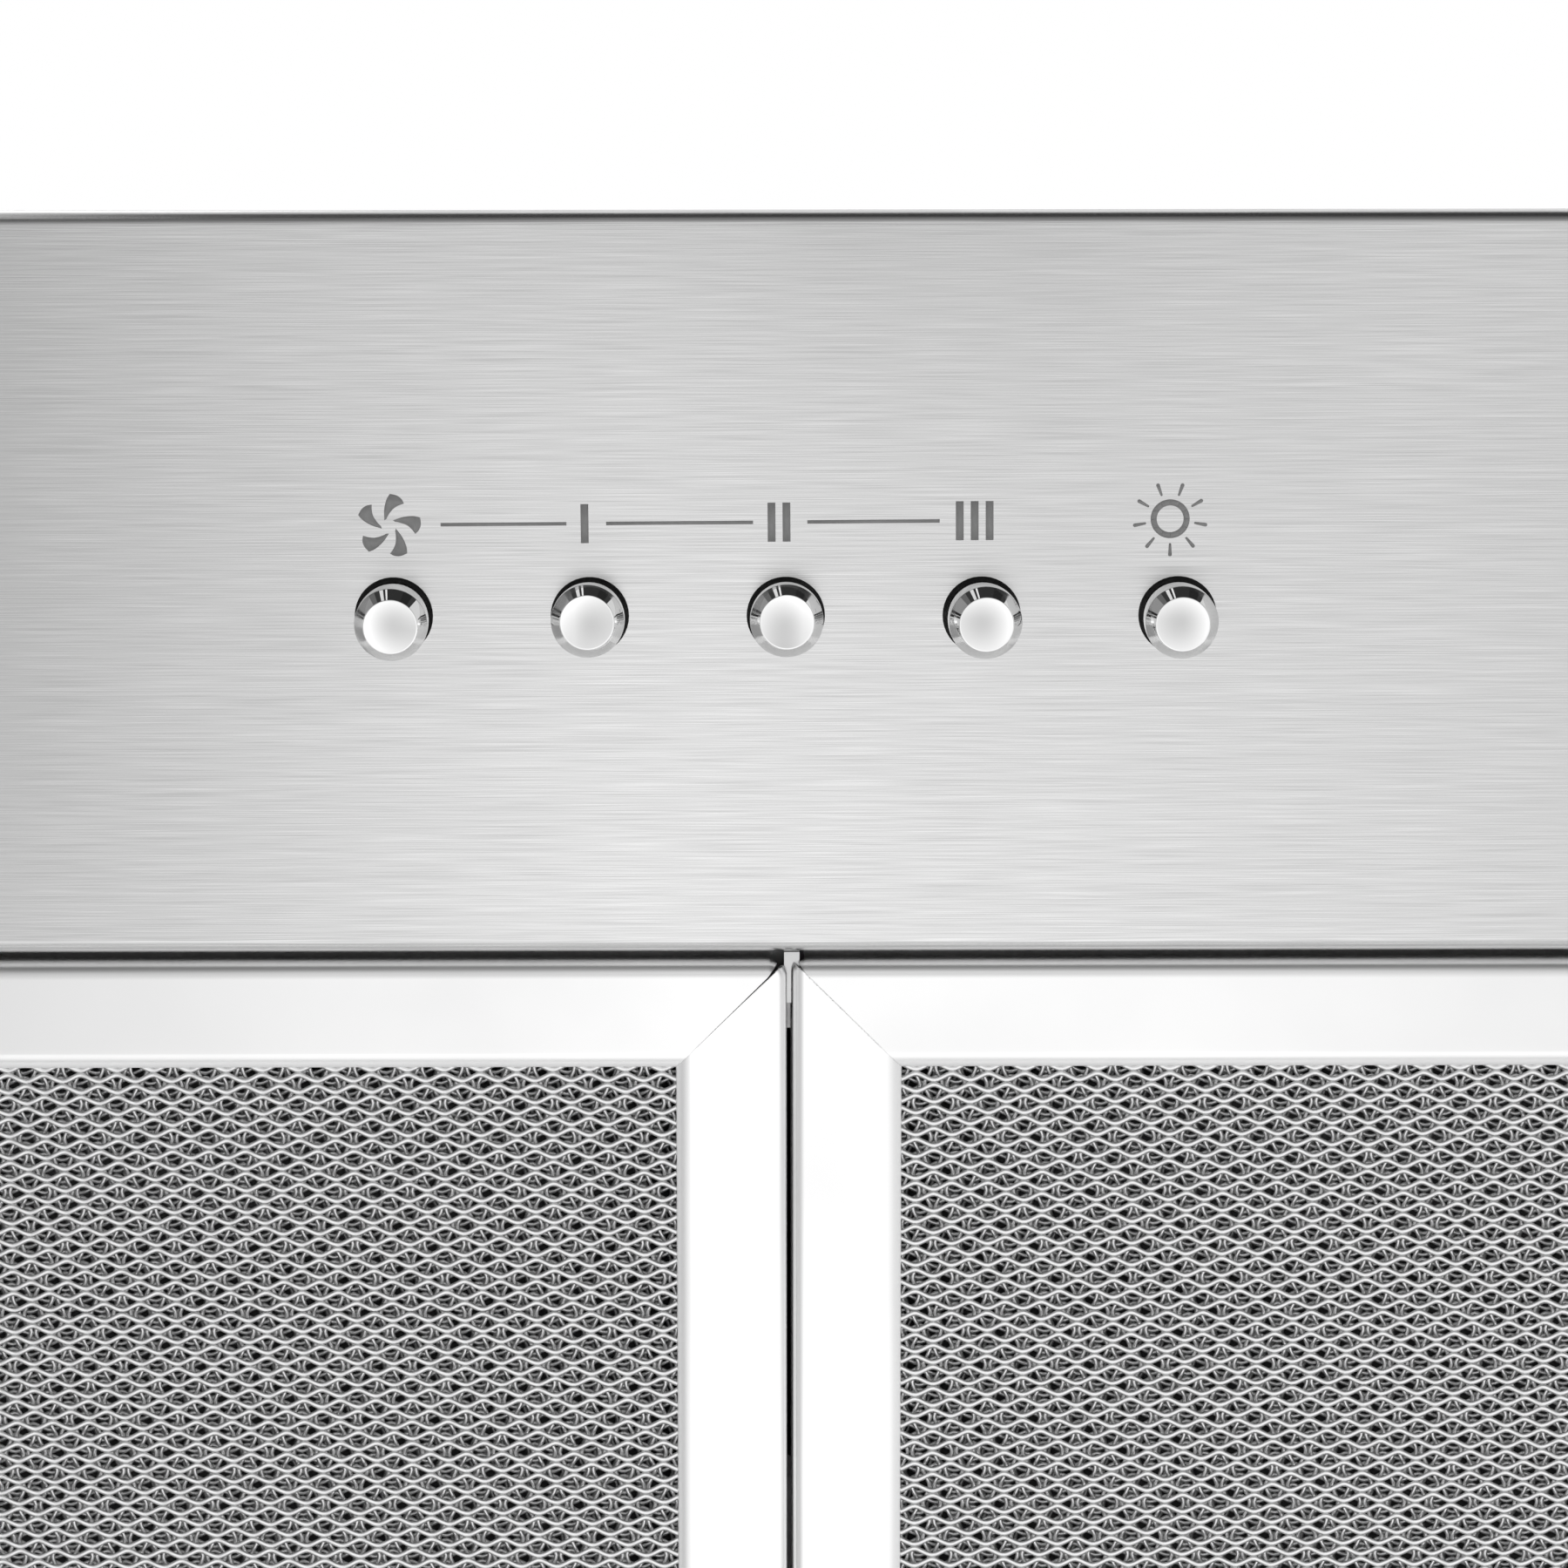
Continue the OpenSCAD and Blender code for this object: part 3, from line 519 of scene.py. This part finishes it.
def curve_through(points, steps=6):
    """Catmull-Rom curve through points."""
    p = [np.array(x, float) for x in points]
    p = [2 * p[0] - p[1]] + p + [2 * p[-1] - p[-2]]
    out = []
    for i in range(1, len(p) - 2):
        for u in np.linspace(0, 1, steps, endpoint=False):
            a, b, c, d = p[i - 1:i + 3]
            out.append(0.5 * (2 * b + (c - a) * u + (2 * a - 5 * b + 4 * c - d) * u ** 2
                              + (3 * b - 3 * c + d - a) * u ** 3))
    out.append(p[-2])
    return [tuple(x) for x in out]


def fan_symbol(at):
    """Five swept blades round a small middle."""
    lead = [(0.94, 126), (2.2, 104.5), (3.4, 94.2), (4.15, 87.2)]
    rim = [(4.15, 87.2), (4.08, 75), (3.85, 64), (3.5, 55.5)]
    trail = [(3.5, 55.5), (2.9, 64.7), (2.27, 75.3), (1.44, 90.9), (0.88, 114)]
    blades = []
    for turn in range(0, 360, 72):
        outline = []
        for part in (lead, rim, trail):
            outline += curve_through([polar(r, a + turn) for r, a in part], 5)[:-1]
        blades.append([(x + at[0], y + at[1]) for x, y in outline])
    return blades


def sun_symbol(at):
    """Ring and nine rays that widen outwards, one of them straight towards the wall."""
    shapes = []
    for start in range(0, 360, 30):
        outer = arc(at, 2.49, start, start + 30, 4)
        inner = arc(at, 1.71, start + 30, start, 4)
        shapes.append(outer + inner)
    for turn in range(90, 450, 40):
        along = (math.cos(math.radians(turn)), math.sin(math.radians(turn)))
        across = (-along[1], along[0])
        shape = []
        for middle, radius, first in ((3.1 + 0.15, 0.15, 90), (4.8 - 0.24, 0.24, -90)):
            for a in np.linspace(first, first + 180, 9):
                u = middle + radius * math.cos(math.radians(a))
                v = radius * math.sin(math.radians(a))
                shape.append((at[0] + along[0] * u + across[0] * v, at[1] + along[1] * u + across[1] * v))
        shapes.append(shape)
    return shapes


# Places below are in millimetres from the middle button.
pitch = (button_x(2) - button_x(1)) / MM
printed("print_fan", fan_symbol((-2 * pitch - 0.49, 0.15)))
printed("print_lamp", sun_symbol((2 * pitch - 1.07, -0.05)))
stroke, stroke_gap, stroke_h = 1.0, 0.9, 5.0
bars = []
for speed, x in ((1, -pitch - 0.59), (2, -0.85), (3, pitch - 0.95)):
    for k in range(speed):
        bars.append(bar(x + (k - (speed - 1) / 2) * (stroke + stroke_gap), 0, stroke, stroke_h))
printed("print_speeds", bars)
lines = [(-43.9, -27.9), (-22.85, -4.15), (2.75, 19.6)]
printed("print_lines", [bar((a + b) / 2, 0, b - a, 0.45) for a, b in lines])


# ---- Filter frames ----
WALL = 0.7 * MM
FACE_W = 14.45 * MM
STEPS = 5
LIP_W = 2.1 * MM
LIP_RISE = 0.68 * MM
SEAM_GAP = 0.16 * MM     # Half of the open seam at a mitre.
SEAM_FLARE = 0.18 * MM   # How much wider the seam is at the outer corner.
SEAM_FLARE_W = 0.9 * MM
TONGUE_Z = slide_high.z - 1.5 * MM - frame_low.z
SLOT_Z = (TONGUE_Z - 0.4 * MM, TONGUE_Z + 2.4 * MM)
SLOT_HALF = 8.4 * MM
HOOK_X = 110 * MM        # Each hook from the middle of the filter's latch.
HOOK_Z = 6.4 * MM


def channel(outer_r):
    """Section of the rolled channel as (inward, upward) pairs: lip, face, rolled edge, web, top flange."""
    height = frame_high.z - frame_low.z
    top_r = 0.9 * MM
    levels = [z for z in (1.2 * MM, 1.35 * MM, *SLOT_Z) if z > outer_r]

    def run(inset):
        slope = inset * 0.8
        path = [(FACE_W - inset, 2.1 * MM), (FACE_W - inset, LIP_RISE + 0.25 * MM + slope / 2),
                (FACE_W - 0.1 * MM - inset, LIP_RISE + slope),
                (FACE_W - 0.35 * MM - inset, LIP_RISE * 0.75 + inset)]
        path += [(FACE_W - LIP_W * u - inset, LIP_RISE * (1 - u) ** 2 + inset)
                 for u in (0.45, 0.65, 0.85, 1.0, 1.3)]
        path += arc((outer_r, outer_r), outer_r - inset, 270, 180, 2 * STEPS + 1)
        path += [(inset, z) for z in levels]
        path += arc((top_r, height - top_r), top_r - inset, 180, 90, STEPS)
        path.append((FACE_W, height - inset))
        return path
    return run(0.0) + run(WALL)[::-1]


def corner_point(m, u, turn, radius):
    """Point on the rounded corner m of the filter's plan, a distance u inside its edge."""
    x = (frame_low.x, frame_high.x, frame_high.x, frame_low.x)[m % 4]
    y = (frame_low.y, frame_low.y, filter_back, filter_back)[m % 4]
    sx = (1, -1, -1, 1)[m % 4]
    sy = (1, 1, -1, -1)[m % 4]
    r = max(radius - u, 0.05 * MM)
    inset = max(u + r, radius)
    centre = (x + sx * inset, y + sy * inset)
    return (centre[0] + r * math.cos(math.radians(turn)), centre[1] + r * math.sin(math.radians(turn)))


def member(m, section, radii, notch_end):
    """Rings of one side of a filter frame, mitred at both ends and cut back round the middle tab."""
    along = (math.cos(math.radians(90 * m)), math.sin(math.radians(90 * m)))
    rings = []
    for end, first in ((0, 225 + 90 * m), (1, 270 + 90 * m)):
        for k in range(STEPS + 1):
            ring = []
            for u, w in section:
                x, y = corner_point(m + end, u, first + 45 * k / STEPS, radii[(m + end) % 4])
                if (end, k) in ((0, 0), (1, STEPS)):
                    gap = SEAM_GAP + SEAM_FLARE * math.exp(-u / SEAM_FLARE_W)
                    sign = 1 if end == 0 else -1
                    x, y = x + sign * gap * along[0], y + sign * gap * along[1]
                ring.append([x, y, frame_low.z + w])
            rings.append(ring)
    for ring in rings:
        for p in ring:
            if notch_end and p[2] - frame_low.z > 1.3 * MM:
                axis, limit = notch_end
                p[axis] = max(p[axis], limit)
    return rings


def slotted(rings, section, low, high):
    """Parts of the front member, whose upright wall is open for the latch tongue from low to high in X."""
    def at(x, keep):
        return [[x, rings[STEPS][i][1], rings[STEPS][i][2]] for i in keep]
    count, half = len(section), len(section) // 2
    under = max(i for i in range(half) if section[i][1] <= SLOT_Z[0] + 0.01 * MM)
    over = min(i for i in range(under, half) if section[i][1] >= SLOT_Z[1] - 0.01 * MM)
    whole = range(count)
    parts = [swept(rings[:STEPS + 1] + [at(low, whole)]), swept([at(high, whole)] + rings[STEPS + 1:])]
    for keep in (list(range(under + 1)), list(range(over, half))):
        keep = keep + [count - 1 - i for i in reversed(keep)]
        parts.append(swept([at(low, keep), at(high, keep)]))
    return parts


def filter_frame(side):
    """Four rolled channels with mitred corners, rear hooks, and a slot in the front one for the latch."""
    seam_r, corner = (1.8 * MM, 1.8 * MM) if side == "right" else (1.15 * MM, 2.5 * MM)
    radii = (corner, 2 * MM, 2 * MM, 2 * MM)
    front, plain_side, seam = channel(2.6 * MM), channel(1.6 * MM), channel(seam_r)
    tongue_x = (slide_low.x + slide_high.x) / 2
    slot_x = (tongue_x - SLOT_HALF, tongue_x + SLOT_HALF)
    notch_x = 2.0 * MM
    notch_y = frame_low.y + 7.6 * MM
    parts = slotted(member(0, front, radii, (0, notch_x)), front, *slot_x)
    parts.append(swept(member(1, plain_side, radii, None)))
    parts.append(swept(member(2, plain_side, radii, None)))
    parts.append(swept(member(3, seam, radii, (1, notch_y))))
    parts += [hook(tongue_x - HOOK_X), hook(tongue_x + HOOK_X)]
    points, faces = joined(parts)
    if side == "left":
        faces = [f[:, ::-1] for f in faces]
    name = f"frame_{side}"
    return piece(name, raw_mesh(name, for_side(points, side), faces), f"filter_{side}",
                 MATERIALS["filter_aluminium"], [f"filter_frame_{side}"], 30)


def hook(x):
    """Small rounded tongue that hangs on the rear rail."""
    wide, thick = 28 * MM, 2 * MM
    z = base_z + HOOK_Z
    rings = []
    for u in (x - wide / 2, x + wide / 2):
        y0, y1 = filter_back - 0.3 * MM, filter_back + hook_len
        outline = [(y0, z)] + arc((y1 - 1 * MM, z + 1 * MM), 1 * MM, -90, 90, 6) + [(y0, z + thick)]
        rings.append([(u, y, h) for y, h in outline])
    return swept(rings)


for side in ("left", "right"):
    filter_frame(side)


# ---- Stretched mesh ----
CELL = 4.72 * MM
ROW = 1.46 * MM
WAVE = 0.44 * MM
STRAND = ((-0.38, -0.01), (-0.1, -0.1), (0.08, -0.1), (0.4, 0.0), (0.08, 0.36))
DEEP_STRAND = ((-0.28, -0.01), (-0.04, -0.08), (0.06, -0.08), (0.3, 0.01), (0.02, 0.22))
THIN_STRAND = ((-0.25, -0.1), (0.25, -0.1), (0.0, 0.25))
FINE_X = 112 * MM
FINE_Y = -64 * MM
LIP = 2 * MM
LEVEL = 1.1 * MM       # From one layer of the mesh to the next.
CORE = (4.5 * MM, 4.9 * MM)
CORE_CLEAR = 1 * MM
FRONT_Z = frame_low.z + LEVEL


def strand(along, offset, odd, shift, z, per_cell, section, rng):
    """Points and faces of one zigzag strand. along is (start, end); offset is its middle line across."""
    start, end = along
    count = max(int(round((end - start) / CELL * per_cell)), 2) + 1
    u = np.linspace(start, end, count)
    phase = 2 * math.pi * (u + shift) / CELL
    v = offset + WAVE * np.arcsin(0.85 * np.cos(phase)) / math.asin(0.85) * (-1 if odd else 1)
    h = z + 0.05 * MM * np.cos(2 * phase) + rng.normal(0, 0.02 * MM)
    corners = np.array(section) * MM
    sides = len(corners)
    ring = np.zeros((count, sides, 3))
    ring[:, :, 0] = u[:, None]
    ring[:, :, 1] = v[:, None] + corners[None, :, 0]
    ring[:, :, 2] = h[:, None] + corners[None, :, 1]
    k = np.arange(sides)
    after = (k + 1) % sides
    base = np.arange(count - 1)[:, None] * sides
    quads = np.stack([base + k, base + after, base + sides + after, base + sides + k], 2).reshape(-1, 4)
    last = (count - 1) * sides
    return ring.reshape(-1, 3), quads, [k[::-1][None, :], (last + k)[None, :]]


def around(span, offset, along_x):
    """A strand's span with the latch housing cut out of it."""
    clear = 0.4 * MM
    if along_x:
        if offset > housing_high.y + clear:
            return [span]
        low, high = housing_low.x - clear, housing_high.x + clear
    else:
        if not housing_low.x - clear < offset < housing_high.x + clear:
            return [span]
        low, high = mesh_low.y - 1, housing_high.y + clear
    cuts = [(span[0], min(span[1], low)), (max(span[0], high), span[1])]
    return [c for c in cuts if c[1] - c[0] > 1 * MM]


def layer(area, z, along_x, per_cell, section, shift=0.0, step=0.0, seed=1):
    """One layer of stretched mesh over area = (x0, y0, x1, y1), with its strands along X or Y."""
    rng = np.random.default_rng(seed)
    x0, y0, x1, y1 = area
    span, across = ((x0, x1), (y0, y1)) if along_x else ((y0, y1), (x0, x1))
    first = math.ceil((across[0] - step) / ROW)
    last = math.floor((across[1] - step) / ROW)
    parts = []
    for k in range(first, last + 1):
        offset = k * ROW + step
        for along in around(span, offset, along_x):
            p, q, e = strand(along, offset, k % 2, shift, z, per_cell, section, rng)
            parts.append((p if along_x else p[:, [1, 0, 2]], q, e))
    return parts


def mesh_piece(side, name, parts, depth=0):
    """Piece of a filter's mesh. depth is the number of layers in front of it, and picks its base colour from lit and
    shaded copies of the mesh aluminium, as painted light and shade.
    """
    points, faces = joined(parts)
    name = f"mesh_{side}_{name}"
    return piece(name, raw_mesh(name, for_side(points, side), faces), f"filter_{side}", mesh_shaded_by_depth[depth],
                 [f"filter_mesh_{side}"])


def filter_core(side):
    """The tightly packed middle layers, as one dark sheet of painted shade, where the inside of the pack lies in
    shadow.
    """
    low, high = FRONT_Z + CORE[0], FRONT_Z + CORE[1]
    slot = (housing_low.x - CORE_CLEAR, housing_high.x + CORE_CLEAR, housing_high.y + CORE_CLEAR)
    boxes = [(inner[0], slot[2], inner[2], inner[3]), (inner[0], inner[1], slot[0], slot[2]),
             (slot[1], inner[1], inner[2], slot[2])]
    parts = []
    for x0, y0, x1, y1 in boxes:
        parts.append(swept([[(x, y0, low), (x, y1, low), (x, y1, high), (x, y0, high)] for x in (x0, x1)]))
    points, faces = joined(parts)
    name = f"core_{side}"
    return piece(name, raw_mesh(name, for_side(points, side), faces), f"filter_{side}", core_painted_shade,
                 [f"filter_mesh_{side}"])


inner = (frame_low.x + FACE_W - LIP, frame_low.y + FACE_W - LIP, frame_high.x - FACE_W + LIP,
         filter_back - FACE_W + LIP)
middle_y = (FINE_Y + inner[3]) / 2
near = (inner[0], inner[1], FINE_X, FINE_Y)
FAR_AREAS = {"beside": (FINE_X, inner[1], inner[2], FINE_Y),
             "middle": (inner[0], FINE_Y, inner[2], middle_y),
             "rear": (inner[0], middle_y, inner[2], inner[3])}
# Layers near the middle of the hood, front one first: name, strands along X, points to a cell, section,
# shift along the strands in cells, step across them in rows.
NEAR_LAYERS = (("front", True, 12, STRAND, 0.0, 0.0), ("second", False, 12, DEEP_STRAND, 0.3, 0.4),
               ("third", True, 10, DEEP_STRAND, 0.37, 0.55), ("fourth", False, 6, DEEP_STRAND, 0.1, 0.8))


def far_layers(side):
    """Front and back layer of coarser strands, away from the middle of the hood."""
    for name, area in FAR_AREAS.items():
        mesh_piece(side, f"front_{name}", layer(area, FRONT_Z, True, 4, THIN_STRAND))
    for seed, (name, area) in enumerate(FAR_AREAS.items(), 5):
        strands = layer(area, FRONT_Z + 5 * LEVEL, False, 4, THIN_STRAND, seed=seed)
        # Depth 4 gives the back layer the darkest mesh colour, painted shade.
        mesh_piece(side, f"back_{name}", strands, 4)


for side in ("left", "right"):
    for k, (name, along_x, per_cell, section, shift, step) in enumerate(NEAR_LAYERS):
        strands = layer(near, FRONT_Z + k * LEVEL, along_x, per_cell, section,
                        shift * CELL, step * ROW, seed=k + 1)
        mesh_piece(side, f"{name}_near", strands, k)
    filter_core(side)
    far_layers(side)


# ---- Coil springs ----
TURN_STEPS = 16
WIRE_SIDES = 6
CLOSED_END = 0.06  # Share of the coil that lies flat at each end.


def coil(name, body, low, high, axis, middle, radius, wire, turns, replaced):
    """Compression spring between two places along an axis."""
    steps = turns * TURN_STEPS
    rings = []
    for i in range(steps + 1):
        a = 2 * math.pi * i / TURN_STEPS
        share = min(max((i / steps - CLOSED_END) / (1 - 2 * CLOSED_END), 0), 1)
        rise = low + wire + share * (high - low - 2 * wire)
        out = np.array([math.cos(a), math.sin(a)])
        ring = []
        for k in range(WIRE_SIDES):
            b = 2 * math.pi * k / WIRE_SIDES
            r = radius + wire * math.cos(b)
            z = rise + wire * math.sin(b)
            level = out * r
            ring.append((middle[0] + level[0], middle[1] + level[1], z) if axis == 2
                        else (middle[0] + level[0], z, middle[1] + level[1]))
        rings.append(ring)
    points, faces = joined([swept(rings)])
    obj = piece(name, raw_mesh(name, points, faces), body, MATERIALS["zinc_steel"],
                replaced, 60)
    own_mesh(obj)
    return obj


spring_low, spring_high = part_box("button_springs")
for i in range(1, 6):
    x = button_x(i)
    coil(f"button_spring_{i}", "hood", spring_low.z, spring_high.z, 2, (x, line_y), 3.5 * MM, 0.25 * MM, 5,
         ["button_springs"])
for side in ("left", "right"):
    low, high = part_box(f"latch_spring_{side}")
    x, z = (low.x + high.x) / 2, (low.z + high.z) / 2
    coil(f"latch_coil_{side}", f"filter_{side}", low.y, high.y, 1, (x, z), 1.15 * MM, 0.15 * MM, 9,
         [f"latch_spring_{side}"])


# ---- Camera ----
def aim(obj, target, up=(0, 0, 1)):
    """Turns obj so that its -Z axis points at target, with its Y axis as near to up as it can be."""
    back = (obj.location - Vector(target)).normalized()
    right = Vector(up).cross(back).normalized()
    obj.rotation_euler = Matrix((right, back.cross(right), back)).transposed().to_euler()


# Below the hood, turned a little towards the wall and the right, with the front of the hood at the top.
look_at = Vector((-0.6 * MM, line_y + 21.8 * MM, base_z))
reach = 0.6495
tilt = math.radians(9.46)
aside = -3.0 * MM
roll = 0.001
camera = bpy.data.objects.new("camera", bpy.data.cameras.new("camera"))
bpy.context.scene.collection.objects.link(camera)
camera.location = look_at + Vector((aside, -reach * math.sin(tilt), -reach * math.cos(tilt)))
camera.data.lens = 116.2
camera.data.sensor_width = 36
camera.data.clip_start = 0.01
aim(camera, look_at, (roll, -1, 0))
bpy.context.scene.camera = camera


# ---- Stage and light ----
def flat(name, width, depth, location):
    """Level rectangle that faces up, for the floor and for light cards."""
    corners = [(-width / 2, -depth / 2, 0), (width / 2, -depth / 2, 0), (width / 2, depth / 2, 0),
               (-width / 2, depth / 2, 0)]
    mesh = bpy.data.meshes.new(name)
    mesh.from_pydata(corners, [], [(0, 1, 2, 3)])
    obj = bpy.data.objects.new(name, mesh)
    bpy.context.scene.collection.objects.link(obj)
    obj.location = location
    return obj


FLOOR_Z = -0.92
floor = flat("floor", 12, 12, (0, 0, FLOOR_Z))
floor.data.materials.append(Nodes("floor", grey(0.8), 0.8).material)


# How the glow changes along Y: how much of its fade to the sides is left, and its share in front and behind.
GLOW_CALM = (-0.03, 0.1, 1.0, 0.3)
GLOW_FRONT = (-1.0, -0.22, 0.2, 1.0)
GLOW_REAR = (0.3, 0.8, 1.0, 0.45)
GLOW_LEAST = 0.5


def glow_material(bright, dip, dip_at, dip_r, fade, fade_x):
    """Light card, brightest near the middle, with a soft darker patch where a person would stand."""
    material = bpy.data.materials.new("glow")
    material.use_nodes = True
    tree = material.node_tree
    tree.nodes.clear()
    place = tree.nodes.new("ShaderNodeNewGeometry").outputs["Position"]
    split = tree.nodes.new("ShaderNodeSeparateXYZ")
    tree.links.new(place, split.inputs[0])
    away = operate(tree, "DISTANCE", place, dip_at, kind="ShaderNodeVectorMath")
    share = operate(tree, "DIVIDE", away, dip_r)
    square = operate(tree, "MULTIPLY", share, share)
    bell = operate(tree, "EXPONENT", operate(tree, "MULTIPLY", square, -1.0))
    x = operate(tree, "SUBTRACT", split.outputs["X"], fade_x)
    left, right = operate(tree, "MULTIPLY", x, -fade[0]), operate(tree, "MULTIPLY", x, fade[1])
    drop = operate(tree, "MAXIMUM", left, right)
    drop = operate(tree, "MULTIPLY", drop, map_range(tree, split.outputs["Y"], GLOW_CALM))
    level = operate(tree, "MAXIMUM", operate(tree, "SUBTRACT", bright, drop), GLOW_LEAST)
    for limits in (GLOW_FRONT, GLOW_REAR):
        level = operate(tree, "MULTIPLY", level, map_range(tree, split.outputs["Y"], limits, smooth=True))
    strength = operate(tree, "SUBTRACT", level, operate(tree, "MULTIPLY", bell, dip))
    emission = tree.nodes.new("ShaderNodeEmission")
    tree.links.new(strength, emission.inputs["Strength"])
    out = tree.nodes.new("ShaderNodeOutputMaterial")
    tree.links.new(emission.outputs[0], out.inputs["Surface"])
    return material


def hidden_card(obj, material):
    """A card that only reflections see."""
    obj.data.materials.append(material)
    obj.visible_camera = False
    obj.visible_diffuse = False
    obj.visible_shadow = False
    obj.visible_transmission = False


def shining(name, strength):
    """Even emission for a light card."""
    material = bpy.data.materials.new(name)
    material.use_nodes = True
    shader = material.node_tree.nodes["Principled BSDF"]
    shader.inputs["Base Color"].default_value = (0, 0, 0, 1)
    shader.inputs["Specular IOR Level"].default_value = 0.0
    shader.inputs["Emission Color"].default_value = (1, 1, 1, 1)
    shader.inputs["Emission Strength"].default_value = strength
    return material


glow = flat("glow", 2.4, 2.7, (0, -0.35, FLOOR_Z + 0.02))
glow.data.materials.append(glow_material(1.29, 0.75, (0.015, -0.29, FLOOR_Z), 0.13, (3.3, 1.5), -0.03))
glow.visible_camera = False
# Each card of the room: the angles it starts and stops at, and how bright it is.
SURROUND = ((-30, 46, 0.68), (46, 55, 0.04), (55, 72, 0.02), (72, 100, 0.03), (100, 103, 0.9),
            (103, 107, 0.03), (107, 113, 0.75), (113, 122, 0.04), (122, 132, 0.13), (132, 158, 0.28), (158, 163, 0.02),
            (163, 165, 0.4), (165, 169, 0.02), (169, 185, 0.6), (185, 210, 0.35))


def surround():
    """Room round the hood at its own height, seen only in reflections, as upright cards on a circle."""
    radius = 1.75
    for k, (start, stop, strength) in enumerate(SURROUND):
        a, b = math.radians(start), math.radians(stop)
        ends = [Vector((radius * math.cos(t), -radius * math.sin(t), 0)) for t in (a, b)]
        mesh = bpy.data.meshes.new(f"surround_{k}")
        low, high = Vector((0, 0, -0.97)), Vector((0, 0, 0.3))
        mesh.from_pydata([ends[0] + low, ends[1] + low, ends[1] + high, ends[0] + high], [], [(0, 1, 2, 3)])
        obj = bpy.data.objects.new(f"surround_{k}", mesh)
        bpy.context.scene.collection.objects.link(obj)
        hidden_card(obj, shining(f"surround_{k}", strength))


surround()
rear = flat("rear_card", 3.6, 1.3, (0, 1.7, -0.35))
rear.rotation_euler = (math.radians(90), 0, 0)
hidden_card(rear, shining("rear_card", 0.6))


def softbox(name, location, target, size, power):
    light = bpy.data.objects.new(name, bpy.data.lights.new(name, "AREA"))
    bpy.context.scene.collection.objects.link(light)
    light.data.shape = "SQUARE"
    light.data.size = size
    light.data.energy = power
    light.location = location
    light.visible_camera = False
    aim(light, target)


softbox("key", (-1.6, -2.2, 1.9), (0, 0, -0.05), 2.2, 32)
softbox("fill", (2.2, -1.2, 1.2), (0, 0, -0.05), 2.0, 14)
softbox("back", (0.5, 2.2, 1.6), (0, 0, -0.05), 2.0, 18)


def sky():
    """Plain pale surround, a little greyer round the horizon."""
    world = bpy.data.worlds.new("surround")
    bpy.context.scene.world = world
    world.use_nodes = True
    tree = world.node_tree
    back = tree.nodes["Background"]
    place = tree.nodes.new("ShaderNodeTexCoord").outputs["Generated"]
    split = tree.nodes.new("ShaderNodeSeparateXYZ")
    tree.links.new(place, split.inputs[0])
    rise = map_range(tree, split.outputs["Z"], (-0.1, 0.8, 0.85, 1.0), smooth=True)
    tree.links.new(rise, back.inputs["Strength"])
    back.inputs["Color"].default_value = (1, 1, 1, 1)


sky()
bpy.context.scene.view_settings.view_transform = "Standard"
